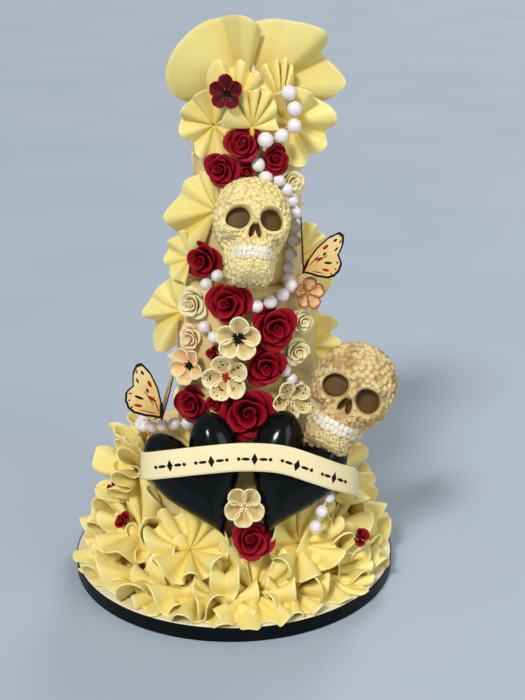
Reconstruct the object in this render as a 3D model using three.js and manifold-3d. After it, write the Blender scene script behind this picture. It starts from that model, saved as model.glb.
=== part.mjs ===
// A three-tier wedding cake on an iced drum board, dressed with chocolate-paste frills, sugar roses,
// blossoms, pearl strings, two moulded skulls, two painted butterflies, two hearts and a banner.
// Millimetres, +Z up, the front faces -Y, and the origin is the middle of the board's underside.
import * as THREE from "three";
import { mergeVertices } from "three/addons/utils/BufferGeometryUtils.js";
import Module from "manifold-3d";

const wasm = await Module();
wasm.setup();

// Driving dimensions
const GAP = 0.3; // clearance between neighbouring pieces
const BOARD = { radius: 152, height: 14.4, sides: 36 };
const RIBBON = { width: 13.6, thickness: 0.7 };
const TIERS = {
  bottom: { axis: 6, foot: 96, radius: 88, base: BOARD.height + GAP, top: 135, edge: 9 },
  middle: { axis: 14, foot: 66, radius: 64, base: 135 + 2 * GAP, top: 288, edge: 7 },
  top: { axis: 14, foot: 48, radius: 47, base: 288 + 2 * GAP, top: 446, edge: 7 },
};
const TIER_SIDES = 28;
const HEART = { width: 84, height: 106, depth: 28, lean: 20, fullness: 2.4, sectors: 24 };
const SKULL_SECTORS = 20;
const BANNER = { width: 25, thickness: 2.2, lean: 0.35, steps: 20 };
const PEARL = { radius: 5.6, spacing: 12.4, neck: 2, sides: 5 };
const WING_THICKNESS = 1.8;
const FRILL = { thickness: 2.8, cup: 0.14, gather: 0.14 }; // cup and gather in the frill's radii
const FACING = 0.6; // how far a piece on a tier turns round with it, the rest is towards the front

// Hearts and skulls: places of the middle of their backs
const HEARTS = [
  { name: "heart_left", at: [-26, -92, 127], azimuth: -8, roll: 25 },
  { name: "heart_right", at: [48, -92, 128], azimuth: 10, roll: -28 },
];
const SKULLS = [
  { name: "skull_upper", at: [14, -55, 336], facing: [10, 24, -7], width: 64, depth: 41 },
  { name: "skull_lower", at: [102, -60, 190], facing: [-6, 16, -25], width: 71, depth: 46 },
];
const BUTTERFLIES = [
  { name: "butterfly_left", at: [-60.5, -60, 171], span: 50, wings: [[184, -23, 0], [94, -17, 0]] },
  { name: "butterfly_right", at: [61, -60, 305], span: 50, wings: [[-3, 16, -18], [87, 3, 0]] },
];
const BANNER_STOPS = [
  [-70, -76, 130],
  [-79, -90, 138],
  [-74, -103, 143],
  [-54, -114, 150],
  [-25, -120, 156],
  [10, -123, 160],
  [42, -122, 157],
  [70, -119, 146],
  [88, -112, 136],
  [104, -98, 125],
  [110, -82, 114],
  [111, -66, 104],
];

// Flowers on the tiers: name, tier, angle round it from the front, height, radius, tilt
const RED_ROSES = [
  ["rose_crown_middle", "top", -4, 412, 15.5, 14],
  ["rose_crown_left", "top", -25, 391, 15, 6],
  ["rose_crown_small", "top", -1, 390, 8.5, 4],
  ["rose_crown_right", "top", 26, 399, 13, 8],
  ["rose_skull_left", "top", -46, 311, 18, 4],
  ["rose_chin", "middle", -14, 279, 19.5, 12],
  ["rose_right_upper", "middle", 19, 258, 20.5, 8],
  ["rose_right_lower", "middle", 12, 223, 19, 8],
  ["rose_left_low", "middle", -45, 181, 17, 10],
  ["rose_heart", "middle", -1, 181, 25, 10],
  ["rose_heart_bud", "middle", -24, 186, 9, 4],
  ["rose_bud", "middle", -27, 232, 7, 4],
];
const CREAM_ROSES = [
  ["rose_cream_crown", "top", 46, 377, 12.5, 6],
  ["rose_cream_left", "middle", -45, 275, 14, 4],
  ["rose_cream_right_upper", "middle", 44, 258, 11.5, 2],
  ["rose_cream_right_lower", "middle", 39, 231, 12, 2],
];
const PEACH_ROSES = [["rose_peach_left", "middle", -48, 242, 11.5, 4]];
const CREAM_BLOSSOMS = [
  ["blossom_black_eye", "middle", -6, 252, 20, 10],
  ["blossom_spotted", "middle", -15, 215, 21, 8],
  ["blossom_spotted_right", "middle", 30, 190, 19, 10],
];
const PEACH_BLOSSOMS = [
  ["blossom_peach", "middle", -44, 219, 17, 8],
  ["blossom_outlined", "middle", 44, 284, 14.5, 12],
];

// Flowers on the skirt, the hearts and the crown: name, place, [azimuth, tilt, roll], radius
const SKIRT_ROSES = [
  ["rose_skirt_front", [16, -102, 78], [5, 24, 40], 18.5],
  ["rose_skirt_left", [-97, -54, 65], [-50, 30, 40], 8.5],
  ["rose_skirt_right", [100, -81, 58.5], [45, 34, 40], 9],
  ["rose_skirt_far_left", [-104, -42, 92], [-75, 20, 40], 7],
];
const HEART_BLOSSOM = ["blossom_hearts", [10, -108, 108], [0, 22, 12], 19];
const CROWN_BLOSSOM = ["blossom_red", [-2, -56, 455], [-12, 10, 20], 14.5];

// Pearl strings: stops run from the first bead's middle to the last one's, and [tier, angle, height]
// is a stop just off a tier
const PEARLS = {
  pearls_crown: [[48, -51, 455], [53, -51, 441], [52, -53, 427], [40, -57, 420], [29, -60, 418]],
  pearls_skull: [
    ["top", 10, 396], ["top", 16, 386], ["top", 30, 381], ["top", 46, 362], ["top", 52, 336],
    ["top", 44, 312], ["top", 42, 297], ["middle", 31, 291], ["middle", 18, 282], ["middle", 6, 278],
  ],
  pearls_left: [[-12, -52, 300], [-22, -47, 291]],
  pearls_left_low: [["middle", -33, 256], ["middle", -25, 248]],
  pearls_right: [["middle", 27, 217], ["middle", 33, 207], ["middle", 40, 198]],
  pearls_hem: [
    ["middle", -52, 159], [-55, -40, 157], [-70, -33, 152],
    [-82, -22, 147], [-88, -4, 141], [-86, 14, 139],
  ],
  pearls_skirt: [[84, -98, 112], [78, -104, 102], [72, -108, 88]],
};

// Frills: name, gather point, [azimuth, elevation, roll], [radius, sweep, pleats, pleat depth, phase]
const ROSETTES = [
  ["frill_crown_rosette_left", [-14, -42, 427], [-12, -6, 0], [28, 360, 6, 4.5, 0.4]],
  ["frill_crown_rosette_right", [50, -36, 427], [22, -6, 0], [32, 360, 6, 4.5, 0.8]],
];
const FANS = [
  ["frill_crown_middle", [18, -55, 427], [0, -4, -6], [34, 120, 4, 3.5, 0.2]],
  ["frill_crown_front_left", [8, -42, 444], [-6, 8, 18], [38, 110, 4, 4.5, 0.6]],
  ["frill_crown_front_right", [42, -37, 444], [8, 8, 2], [38, 80, 3, 4.5, 0.3]],
  ["frill_crown_left", [13, -28, 451], [-8, 2, 43], [64, 118, 3, 7, 0.15]],
  ["frill_crown_right", [29, -26, 452], [10, 2, -51], [63, 114, 3, 8, 0.55]],
  ["frill_side_left_upper", [-18, -38, 339], [-32, 6, 53], [46, 128, 3, 7, 0.3]],
  ["frill_side_left_lower", [-45, -29, 258], [-38, 4, 73], [44, 164, 4, 7, 0.7]],
  ["frill_side_right_upper", [60, -12, 306], [46, 4, -46], [30, 150, 4, 4, 0.4]],
  ["frill_side_right_lower", [68, -26, 226], [42, 4, -64], [33, 150, 4, 5, 0.1]],
];

// Bundles of rosettes pressed together, each solid behind its rim
const BUNDLE = { pleats: 6, depth: 7, cup: 0.19, back: 0.75 }; // cup and back in the rosette's radii
const BACK_SHARE = 0.74; // a back rosette's radius in its tier's radii
const BACK_PLACES = [
  ["middle", 158, 176], ["middle", 202, 214], ["middle", 158, 252],
  ["top", 192, 296], ["top", 166, 340], ["top", 194, 382], ["top", 170, 426],
];
const SKIRT_AXIS = { axis: 1 };
const SKIRT_ROWS = [
  { reach: 116, height: 28, lean: 60, radius: 38, front: [-72, -43, -17, 8, 44, 72], behind: 6 },
  { reach: 106, height: 64, lean: 46, radius: 36, front: [-88, -54, -19, 30, 57, 88], behind: 5 },
  { reach: 97, height: 105, lean: 34, radius: 33, front: [-74, 72], behind: 4 },
];

// Materials
const paste = (color, roughness = 0.55) => new THREE.MeshStandardMaterial({ color, roughness, metalness: 0 });
const IVORY = paste(0xf0e2b4);
const YELLOW = paste(0xf0dc84);
const RED = paste(0xa01228);
const DARK_RED = paste(0x7a0f1c);
const CREAM = paste(0xeedfa4);
const PEACH = paste(0xeebc86);
const PEARL_WHITE = paste(0xf2e9e4, 0.3);
const BONE = paste(0xeadd9c, 0.6);
const BLACK = paste(0x07100f, 0.25);
const RIBBON_BLACK = paste(0x0b0b10, 0.4);
const WING = paste(0xe8bd62, 0.6);

// Places and frames
const rad = THREE.MathUtils.degToRad;
const point = (x, y, z) => new THREE.Vector3(x, y, z);
const range = (count) => Array.from({ length: count }, (_, i) => i);

// A piece's frame: local +Z faces outwards at that azimuth (0 is the front, 90 is +X) and elevation,
// local +Y is up, and roll turns the piece anticlockwise as it is looked at.
function stance(at, [azimuth, elevation, roll]) {
  const turn = new THREE.Quaternion().setFromAxisAngle(point(0, 0, 1), rad(azimuth));
  turn.multiply(new THREE.Quaternion().setFromAxisAngle(point(1, 0, 0), rad(90 - elevation)));
  turn.multiply(new THREE.Quaternion().setFromAxisAngle(point(0, 0, 1), rad(roll)));
  return new THREE.Matrix4().compose(point(...at), turn, point(1, 1, 1));
}

// A point at a distance from a tier's axis, at an angle round it from the front.
function around({ axis }, angle, reach, height) {
  return [axis + reach * Math.sin(rad(angle)), -reach * Math.cos(rad(angle)), height];
}

// Solids
function solidFrom(geometry, matrix) {
  const bare = geometry.clone().applyMatrix4(matrix);
  bare.deleteAttribute("normal");
  bare.deleteAttribute("uv");
  const merged = mergeVertices(bare, 1e-4);
  const triVerts = new Uint32Array(merged.index.array);
  const vertProperties = merged.attributes.position.array;
  return new wasm.Manifold(new wasm.Mesh({ numProp: 3, vertProperties, triVerts }));
}

function geometryFrom(solid, matrix) {
  const { vertProperties, triVerts } = solid.getMesh();
  const geometry = new THREE.BufferGeometry();
  geometry.setAttribute("position", new THREE.BufferAttribute(new Float32Array(vertProperties), 3));
  geometry.setIndex(new THREE.BufferAttribute(new Uint32Array(triVerts), 1));
  geometry.applyMatrix4(matrix);
  geometry.computeVertexNormals();
  return geometry;
}

// A closed skin from a first point over a row of loops to a last point, with its faces pointing out.
function skin(first, loops, last) {
  const count = loops[0].length;
  const points = [first, ...loops.flat(), last];
  const at = (loop, i) => 1 + loop * count + (i % count);
  const faces = [];
  for (const i of range(count)) {
    faces.push([0, at(0, i), at(0, i + 1)]);
    for (const k of range(loops.length - 1)) {
      faces.push([at(k, i), at(k + 1, i), at(k + 1, i + 1)]);
      faces.push([at(k, i), at(k + 1, i + 1), at(k, i + 1)]);
    }
    faces.push([points.length - 1, at(loops.length - 1, i + 1), at(loops.length - 1, i)]);
  }
  const volume = faces.reduce((sum, [a, b, c]) => {
    const cross = new THREE.Vector3().crossVectors(points[b], points[c]);
    return sum + points[a].dot(cross);
  }, 0);
  const outward = volume > 0 ? faces : faces.map(([a, b, c]) => [a, c, b]);
  const geometry = new THREE.BufferGeometry().setFromPoints(points);
  geometry.setIndex(outward.flat());
  return geometry;
}

// A form with a front and a back: each ring is a function of the angle round the middle.
function relief(front, rings, back, sectors) {
  const loops = rings.map((ring) => range(sectors).map((i) => ring((2 * Math.PI * i) / sectors)));
  return skin(front, loops, back);
}

function lathe(profile, sides, axis = 0) {
  const outline = profile.map(([radius, height]) => new THREE.Vector2(radius, height));
  return new THREE.LatheGeometry(outline, sides).rotateX(Math.PI / 2).translate(axis, 0, 0);
}

// Pieces settle one after another, and each is cut back from what is already in its place.
// A form is a function of how far the piece is grown, so that the copy that cuts keeps the clearance.
const settled = [];
const apart = (a, b) => range(3).some((i) => a.max[i] < b.min[i] || b.max[i] < a.min[i]);

function fused(form, grow, matrix) {
  const solids = [form(grow)].flat().map((geometry) => solidFrom(geometry, matrix));
  return solids.reduce((sum, next) => sum.add(next));
}

function settle(group, name, form, material, matrix = new THREE.Matrix4()) {
  let solid = fused(form, 0, matrix);
  for (const other of settled) {
    if (!apart(solid.boundingBox(), other.boundingBox())) solid = solid.subtract(other);
  }
  const [largest] = solid.decompose().sort((a, b) => b.volume() - a.volume());
  const mesh = new THREE.Mesh(geometryFrom(largest, matrix.clone().invert()), material);
  matrix.decompose(mesh.position, mesh.quaternion, mesh.scale);
  mesh.name = name;
  group.add(mesh);
  settled.push(fused(form, GAP, matrix));
}

// Board, ribbon and tiers
function boardForm(grow) {
  const edge = BOARD.radius + grow;
  return lathe([[0, 0], [edge, 0], [edge, BOARD.height], [0, BOARD.height]], BOARD.sides);
}

function ribbonForm() {
  const inner = BOARD.radius + GAP;
  const outer = inner + RIBBON.thickness;
  const foot = (BOARD.height - RIBBON.width) / 2;
  const head = foot + RIBBON.width;
  return lathe([[inner, foot], [outer, foot], [outer, head], [inner, head], [inner, foot]], BOARD.sides);
}

function tierForm({ axis, foot, radius, base, top, edge }) {
  const shoulder = edge * (1 - Math.SQRT1_2);
  return (grow) => {
    const profile = [
      [0, base],
      [foot + grow, base],
      [radius + grow, top - edge],
      [radius - shoulder + grow, top - shoulder + grow],
      [radius - edge, top + grow],
      [0, top + grow],
    ];
    return lathe(profile, TIER_SIDES, axis);
  };
}

// Hearts: a domed front and a slightly smaller flat back.
function heartForm(grow) {
  const across = HEART.width / 2 + grow;
  const up = (HEART.height / 2 + grow) / 14.5;
  const dome = HEART.depth + grow;
  const edge = (share, z) => (t) => {
    const y = 2.5 + 13 * Math.cos(t) - 5 * Math.cos(2 * t) - 2 * Math.cos(3 * t) - Math.cos(4 * t);
    const x = Math.sign(Math.sin(t)) * Math.abs(Math.sin(t)) ** HEART.fullness;
    return point(share * across * x, share * up * y, z);
  };
  const rings = [edge(0.45, 0.94 * dome), edge(0.78, 0.74 * dome), edge(1, 0.32 * dome), edge(0.94, -grow)];
  return relief(point(0, 0, dome), rings, point(0, 0, -grow), HEART.sectors);
}

// Skulls: a cranium that narrows under the cheekbones to a squarish jaw, with features in skull widths.
const SKULL_FEATURES = [
  { x: 0.216, y: 0.11, spread: 0.125, rise: -0.25, paired: true }, // eye sockets
  { x: 0, y: -0.06, spread: 0.075, rise: -0.16 }, // nose
  { x: 0.2, y: 0.29, spread: 0.14, rise: 0.05, paired: true }, // brow
  { x: 0.37, y: -0.09, spread: 0.11, rise: 0.1, paired: true }, // cheekbones
  { x: 0.32, y: -0.26, spread: 0.1, rise: -0.16, paired: true }, // hollows under the cheekbones
  { x: 0, y: -0.31, spread: 0.2, rise: 0.1 }, // teeth
  { x: 0, y: -0.58, spread: 0.16, rise: 0.1 }, // chin
];
// Half an outline from the chin over the jaw, cheekbone and temple to the crown: angle and reach.
const SKULL_OUTLINE = [
  [-90, 0.72], [-74, 0.73], [-64, 0.69], [-55, 0.6], [-44, 0.49], [-27, 0.435], [-9, 0.45],
  [5, 0.49], [19, 0.53], [33, 0.58], [52, 0.655], [67, 0.7], [90, 0.72],
];
const SKULL_RINGS = [0.2, 0.4, 0.6, 0.8, 0.95];

function skullOutline(angle, width) {
  const rise = THREE.MathUtils.radToDeg(Math.atan2(Math.sin(angle), Math.abs(Math.cos(angle))));
  const next = Math.max(1, SKULL_OUTLINE.findIndex(([stop]) => stop >= rise - 1e-6));
  const [low, near] = SKULL_OUTLINE[next - 1];
  const [high, far] = SKULL_OUTLINE[next];
  return width * THREE.MathUtils.mapLinear(rise, low, high, near, far);
}

function skullRise(x, y, width, depth, share) {
  const bumps = SKULL_FEATURES.flatMap((feature) => {
    const sides = feature.paired ? [feature.x, -feature.x] : [feature.x];
    return sides.map((side) => {
      const away = Math.hypot(x / width - side, y / width - feature.y) / feature.spread;
      return feature.rise * width * Math.exp(-(away ** 4));
    });
  });
  const relief = bumps.reduce((sum, bump) => sum + bump, 0);
  return depth * Math.sqrt(1 - share ** 3) + relief * (1 - share ** 6);
}

function skullForm({ width, depth }) {
  const face = 0.65 * depth;
  const side = 0.35 * depth;
  return (grow) => {
    const at = (share, angle, rise) => {
      const reach = share * (skullOutline(angle, width) + grow);
      const [x, y] = [reach * Math.cos(angle), reach * Math.sin(angle)];
      return point(x, y, rise(x, y));
    };
    const front = (share) => (angle) =>
      at(share, angle, (x, y) => side + skullRise(x, y, width, face, share) + grow);
    const back = (share, z) => (angle) => at(share, angle, () => z);
    const rings = [...SKULL_RINGS.map(front), back(1, 0.85 * side), back(0.8, -0.7 * side - grow)];
    return relief(front(0)(0), rings, point(0, 0, -side - grow), SKULL_SECTORS);
  };
}

// Banner: a strip that leans back with the hearts and turns away at its ends.
function bannerForm(grow) {
  const curve = new THREE.CatmullRomCurve3(BANNER_STOPS.map((stop) => point(...stop)));
  const half = BANNER.width / 2 + grow;
  const deep = BANNER.thickness / 2 + grow;
  const loops = range(BANNER.steps + 1).map((i) => {
    const at = curve.getPointAt(i / BANNER.steps);
    const along = curve.getTangentAt(i / BANNER.steps);
    const upright = point(0, BANNER.lean, 1);
    const up = upright.addScaledVector(along, -upright.dot(along)).normalize();
    const out = new THREE.Vector3().crossVectors(along, up).normalize();
    const corner = (u, o) => at.clone().addScaledVector(up, u).addScaledVector(out, o);
    return [corner(half, deep), corner(half, -deep), corner(-half, -deep), corner(-half, deep)];
  });
  const middle = (loop) => loop[0].clone().add(loop[2]).multiplyScalar(0.5);
  return skin(middle(loops[0]), loops, middle(loops.at(-1)));
}

// Roses: rings of [reach, rise, lobe] in radii, from the bud over the petals' rims to the base.
const ROSE_RINGS = [
  [0.2, 0.84, 0],
  [0.34, 0.56, 0],
  [0.6, 0.78, 0.1],
  [0.72, 0.46, 0],
  [1, 0.54, -0.09],
  [0.38, 0, 0],
];
const BUD_RINGS = [[0.35, 1.05, 0.08], [0.95, 0.75, -0.1], [0.4, 0, 0]];
const BUD_RADIUS = 10; // a smaller rose has only the rings of a bud

function roseForm(radius) {
  const profile = radius < BUD_RADIUS ? BUD_RINGS : ROSE_RINGS;
  return (grow) => {
    const size = radius + grow / 0.55;
    const rings = profile.map(([reach, rise, lobe]) => (angle) => {
      const r = reach * size * (1 + lobe * Math.cos(5 * angle));
      return point(r * Math.cos(angle), r * Math.sin(angle), rise ? rise * size : -grow);
    });
    return relief(point(0, 0, 0.62 * size), rings, point(0, 0, -grow), 10);
  };
}

// Blossoms: five cupped petals, each with two points on its rim and one in the cleft beside it.
function blossomForm(radius) {
  return (grow) => {
    const size = radius + grow / 0.4;
    const ring = (reach, rise) => (angle) => {
      const r = reach * size * (0.87 - 0.26 * Math.cos(5 * angle));
      return point(r * Math.cos(angle), r * Math.sin(angle), rise ? rise * size : -grow);
    };
    const rings = [ring(0.5, 0.3), ring(1, 0.5), ring(0.35, 0)];
    return relief(point(0, 0, 0.22 * size), rings, point(0, 0, -grow), 15);
  };
}

// Pearl strings: moulded beads joined by narrow necks along a curve.
function pearlStop(stop) {
  if (typeof stop[0] === "number") return point(...stop);
  const [tier, angle, height] = stop;
  return point(...around(TIERS[tier], angle, TIERS[tier].radius + PEARL.radius + GAP, height));
}

function pearlForm(stops) {
  const curve = new THREE.CatmullRomCurve3(stops.map(pearlStop));
  const length = curve.getLength();
  const gaps = Math.round(length / PEARL.spacing);
  const spacing = length / gaps;
  const along = (distance) => {
    const share = THREE.MathUtils.clamp(distance / length, 0, 1);
    const tangent = curve.getTangentAt(share);
    return { at: curve.getPointAt(share).addScaledVector(tangent, distance - share * length), tangent };
  };
  return (grow) => {
    const ring = (distance, radius) => {
      const { at, tangent } = along(distance);
      const side = new THREE.Vector3().crossVectors(tangent, point(0.3, 0.1, 1)).normalize();
      const up = new THREE.Vector3().crossVectors(side, tangent);
      return range(PEARL.sides).map((i) => {
        const turn = (2 * Math.PI * i) / PEARL.sides;
        const out = side.clone().multiplyScalar(Math.cos(turn)).addScaledVector(up, Math.sin(turn));
        return at.clone().addScaledVector(out, radius + grow);
      });
    };
    const half = PEARL.radius / 2;
    const bead = (middle) => [-half, half].map((offset) => ring(middle + offset, 0.87 * PEARL.radius));
    const loops = range(gaps + 1).flatMap((i) => {
      const neck = i ? [ring((i - 0.5) * spacing, PEARL.neck)] : [];
      return [...neck, ...bead(i * spacing)];
    });
    const end = PEARL.radius + grow;
    return skin(along(-end).at, loops, along(length + end).at);
  };
}

// Butterflies: two flat wings that rise from a slim body, each facing its own way.
const WING_STOPS = [
  [0, 0], [0, 0.3], [0.07, 0.58], [0.22, 0.88], [0.36, 1], [0.46, 0.92], [0.5, 0.7], [0.5, 0.6],
  [0.61, 0.5], [0.64, 0.36], [0.6, 0.22], [0.5, 0.12], [0.28, 0.05],
];

function butterflyForm({ span, wings }) {
  return (grow) => {
    const depth = WING_THICKNESS + 2 * grow;
    const size = span + 2 * grow;
    const outline = new THREE.Shape(WING_STOPS.map(([x, y]) => new THREE.Vector2(x * size, y * size)));
    const wing = (facing) =>
      new THREE.ExtrudeGeometry(outline, { depth, bevelEnabled: false })
        .translate(-grow, -grow, -depth / 2)
        .applyMatrix4(stance([0, 0, 0], facing));
    const body = new THREE.SphereGeometry(1, 6, 4)
      .scale(0.04 * span + grow, 0.17 * span + grow, 0.04 * span + grow)
      .translate(0, 0.13 * span, 0)
      .applyMatrix4(stance([0, 0, 0], wings[0]));
    return [body, ...wings.map(wing)];
  };
}

// Frills: a sheet gathered at one point, whose pleats deepen towards the rim and whose rim cups forward.
function frillPoint({ radius, sweep, pleats, depth, phase, cup }, rho, share, side, grow) {
  const angle = rad((0.5 - share) * sweep);
  const wave = 2 * Math.PI * (pleats * share + phase);
  const uneven = 1 + 0.25 * Math.sin(4 * Math.PI * share + 9 * phase);
  const reach = radius * rho * (1 + 0.07 * Math.cos(wave + 0.8)) + grow;
  const lift = cup * radius * rho ** 2 + depth * uneven * rho * Math.cos(wave);
  const offset = side * (FRILL.thickness / 2 + grow);
  return point(reach * Math.sin(angle), reach * Math.cos(angle), lift + offset);
}

function sheetOf([radius, sweep, pleats, depth, phase]) {
  return { radius, sweep, pleats, depth, phase, cup: FRILL.cup };
}

function rosetteForm(frill) {
  const sectors = frill.pleats * 2;
  return (grow) => {
    const ring = (rho, side) => range(sectors).map((i) => frillPoint(frill, rho, i / sectors, side, grow));
    const middle = FRILL.thickness / 2 + grow;
    const loops = [ring(0.5, 1), ring(1, 1), ring(1, -1), ring(0.5, -1)];
    return skin(point(0, 0, middle), loops, point(0, 0, -middle));
  };
}

function fanForm(frill) {
  const steps = frill.pleats * 3;
  const reaches = [FRILL.gather, 0.55, 1];
  return (grow) => {
    const loops = range(steps + 1).map((i) => {
      const face = (side) => reaches.map((rho) => frillPoint(frill, rho, i / steps, side, grow));
      return [...face(1), ...face(-1).reverse()];
    });
    const middle = (loop) => loop[1].clone().add(loop[4]).multiplyScalar(0.5);
    return skin(middle(loops[0]), loops, middle(loops[steps]));
  };
}

function backedForm(frill) {
  const sectors = frill.pleats * 2;
  return (grow) => {
    const rim = range(sectors).map((i) => frillPoint(frill, 1, i / sectors, 1, grow));
    const back = -BUNDLE.back * frill.radius - grow;
    return skin(point(0, 0, FRILL.thickness / 2 + grow), [rim], point(0, 0, back));
  };
}

function bundleForm(rosettes) {
  return (grow) => rosettes.map(({ frame, ...frill }) => backedForm(frill)(grow).applyMatrix4(frame));
}

const bundled = (radius, phase, frame) => ({ ...BUNDLE, sweep: 360, radius, phase, frame });

function backRosettes() {
  return BACK_PLACES.map(([tier, angle, height], i) => {
    const { radius } = TIERS[tier];
    const at = around(TIERS[tier], angle, radius + 4, height);
    return bundled(BACK_SHARE * radius, 0.37 * i, stance(at, [angle, 10, 0]));
  });
}

function skirtRosettes() {
  return SKIRT_ROWS.flatMap(({ reach, height, lean, radius, front, behind }, row) => {
    const last = front.at(-1);
    const step = (360 + front[0] - last) / (behind + 1);
    const angles = [...front, ...range(behind).map((i) => last + (i + 1) * step)];
    return angles.map((angle, i) => {
      const at = around(SKIRT_AXIS, angle, reach, height);
      return bundled(radius, 0.29 * i + 0.4 * row, stance(at, [angle, lean, 0]));
    });
  });
}

// The cake: what carries comes first, then what is laid on it, then the frills tucked in between.
const stand = new THREE.Group();
const figures = new THREE.Group();
const flowers = new THREE.Group();
const pearls = new THREE.Group();
const frills = new THREE.Group();
const cake = new THREE.Group();
cake.add(stand, figures, flowers, pearls, frills);

settle(stand, "board", boardForm, IVORY);
settle(stand, "board_ribbon", ribbonForm, RIBBON_BLACK);
for (const [name, tier] of Object.entries(TIERS)) settle(stand, `tier_${name}`, tierForm(tier), IVORY);

for (const skull of SKULLS) {
  settle(figures, skull.name, skullForm(skull), BONE, stance(skull.at, skull.facing));
}
for (const { name, at, azimuth, roll } of HEARTS) {
  settle(figures, name, heartForm, BLACK, stance(at, [azimuth, HEART.lean, roll]));
}
settle(figures, "banner", bannerForm, CREAM);

function settleOnTiers(places, form, material) {
  for (const [name, tier, angle, height, radius, tilt] of places) {
    const at = around(TIERS[tier], angle, TIERS[tier].radius + 1, height);
    settle(flowers, name, form(radius), material, stance(at, [FACING * angle, tilt, 17 * angle]));
  }
}
settleOnTiers(RED_ROSES, roseForm, RED);
for (const [name, at, facing, radius] of SKIRT_ROSES) {
  settle(flowers, name, roseForm(radius), RED, stance(at, facing));
}
settleOnTiers(CREAM_ROSES, roseForm, CREAM);
settleOnTiers(PEACH_ROSES, roseForm, PEACH);
settleOnTiers(CREAM_BLOSSOMS, blossomForm, CREAM);
settleOnTiers(PEACH_BLOSSOMS, blossomForm, PEACH);
for (const [[name, at, facing, radius], material] of [[HEART_BLOSSOM, CREAM], [CROWN_BLOSSOM, DARK_RED]]) {
  settle(flowers, name, blossomForm(radius), material, stance(at, facing));
}

for (const [name, stops] of Object.entries(PEARLS)) settle(pearls, name, pearlForm(stops), PEARL_WHITE);
for (const butterfly of BUTTERFLIES) {
  settle(figures, butterfly.name, butterflyForm(butterfly), WING, stance(butterfly.at, [0, 90, 0]));
}

for (const [name, at, facing, sheet] of ROSETTES) {
  settle(frills, name, rosetteForm(sheetOf(sheet)), YELLOW, stance(at, facing));
}
for (const [name, at, facing, sheet] of FANS) {
  settle(frills, name, fanForm(sheetOf(sheet)), YELLOW, stance(at, facing));
}
settle(frills, "frill_back", bundleForm(backRosettes()), YELLOW);
settle(frills, "frill_skirt", bundleForm(skirtRosettes()), YELLOW);

export default cake;
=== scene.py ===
import math

import bmesh
import bpy
import numpy as np
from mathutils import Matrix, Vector


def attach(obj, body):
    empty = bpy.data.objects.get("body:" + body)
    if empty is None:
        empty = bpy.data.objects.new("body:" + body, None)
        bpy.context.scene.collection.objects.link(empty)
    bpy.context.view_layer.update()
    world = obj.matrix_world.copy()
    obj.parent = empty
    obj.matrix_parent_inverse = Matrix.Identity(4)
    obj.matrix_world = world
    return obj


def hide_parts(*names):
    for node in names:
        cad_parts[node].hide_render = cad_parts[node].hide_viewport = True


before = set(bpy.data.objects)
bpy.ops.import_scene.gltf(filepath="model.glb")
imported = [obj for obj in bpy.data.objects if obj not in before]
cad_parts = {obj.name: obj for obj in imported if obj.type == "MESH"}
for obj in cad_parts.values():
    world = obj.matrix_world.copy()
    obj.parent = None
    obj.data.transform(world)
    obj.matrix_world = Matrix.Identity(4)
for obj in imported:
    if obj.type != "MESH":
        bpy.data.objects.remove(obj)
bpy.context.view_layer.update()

# Lengths below are in millimetres and angles in degrees, as in the part's source
MM = 0.001
GAP = 0.3
BOARD = {"radius": 152, "height": 14.4, "edge": 1.6, "chamfer": 1}
RIBBON = {"width": 13.6, "thickness": 0.7, "rolled": 0.2, "tail": (-3, 8)}
TIERS = {
    "bottom": {"axis": 6, "foot": 96, "radius": 88, "base": 14.7, "top": 135, "edge": 9},
    "middle": {"axis": 14, "foot": 66, "radius": 64, "base": 135.6, "top": 288, "edge": 7},
    "top": {"axis": 14, "foot": 48, "radius": 47, "base": 288.6, "top": 446, "edge": 7},
}
HEART = {"width": 84, "height": 106, "depth": 28, "lean": 20, "fullness": 2.4, "slope": 24}
HEARTS = {"heart_left": ([-26, -92, 127], -8, 25), "heart_right": ([48, -92, 128], 10, -28)}
SKULLS = {
    "skull_upper": {"at": [14, -55, 336], "facing": [10, 24, -7], "width": 64, "depth": 41, "seed": 3},
    "skull_lower": {"at": [102, -60, 190], "facing": [-6, 16, -25], "width": 71, "depth": 46, "seed": 8},
}
BUTTERFLIES = {
    "butterfly_left": {
        "at": [-63, -60, 171], "foot": [-52, -48, 133], "span": 50,
        "wings": [[184, -23, 0], [94, -17, 0]],
    },
    "butterfly_right": {
        "at": [61, -60, 305], "foot": [50, -46, 286], "span": 45,
        "wings": [[-22, 14, -20], [87, 3, 0]],
    },
}
BANNER = {"width": 25, "thickness": 2.2, "lean": 0.35, "bulge": 0.5}
BANNER_STOPS = [
    [-70, -76, 130], [-79, -90, 138], [-74, -103, 143], [-54, -114, 150], [-25, -120, 156],
    [10, -123, 160], [42, -122, 157], [70, -119, 146], [88, -112, 136], [104, -98, 125],
    [110, -82, 114], [111, -66, 104],
]

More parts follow.
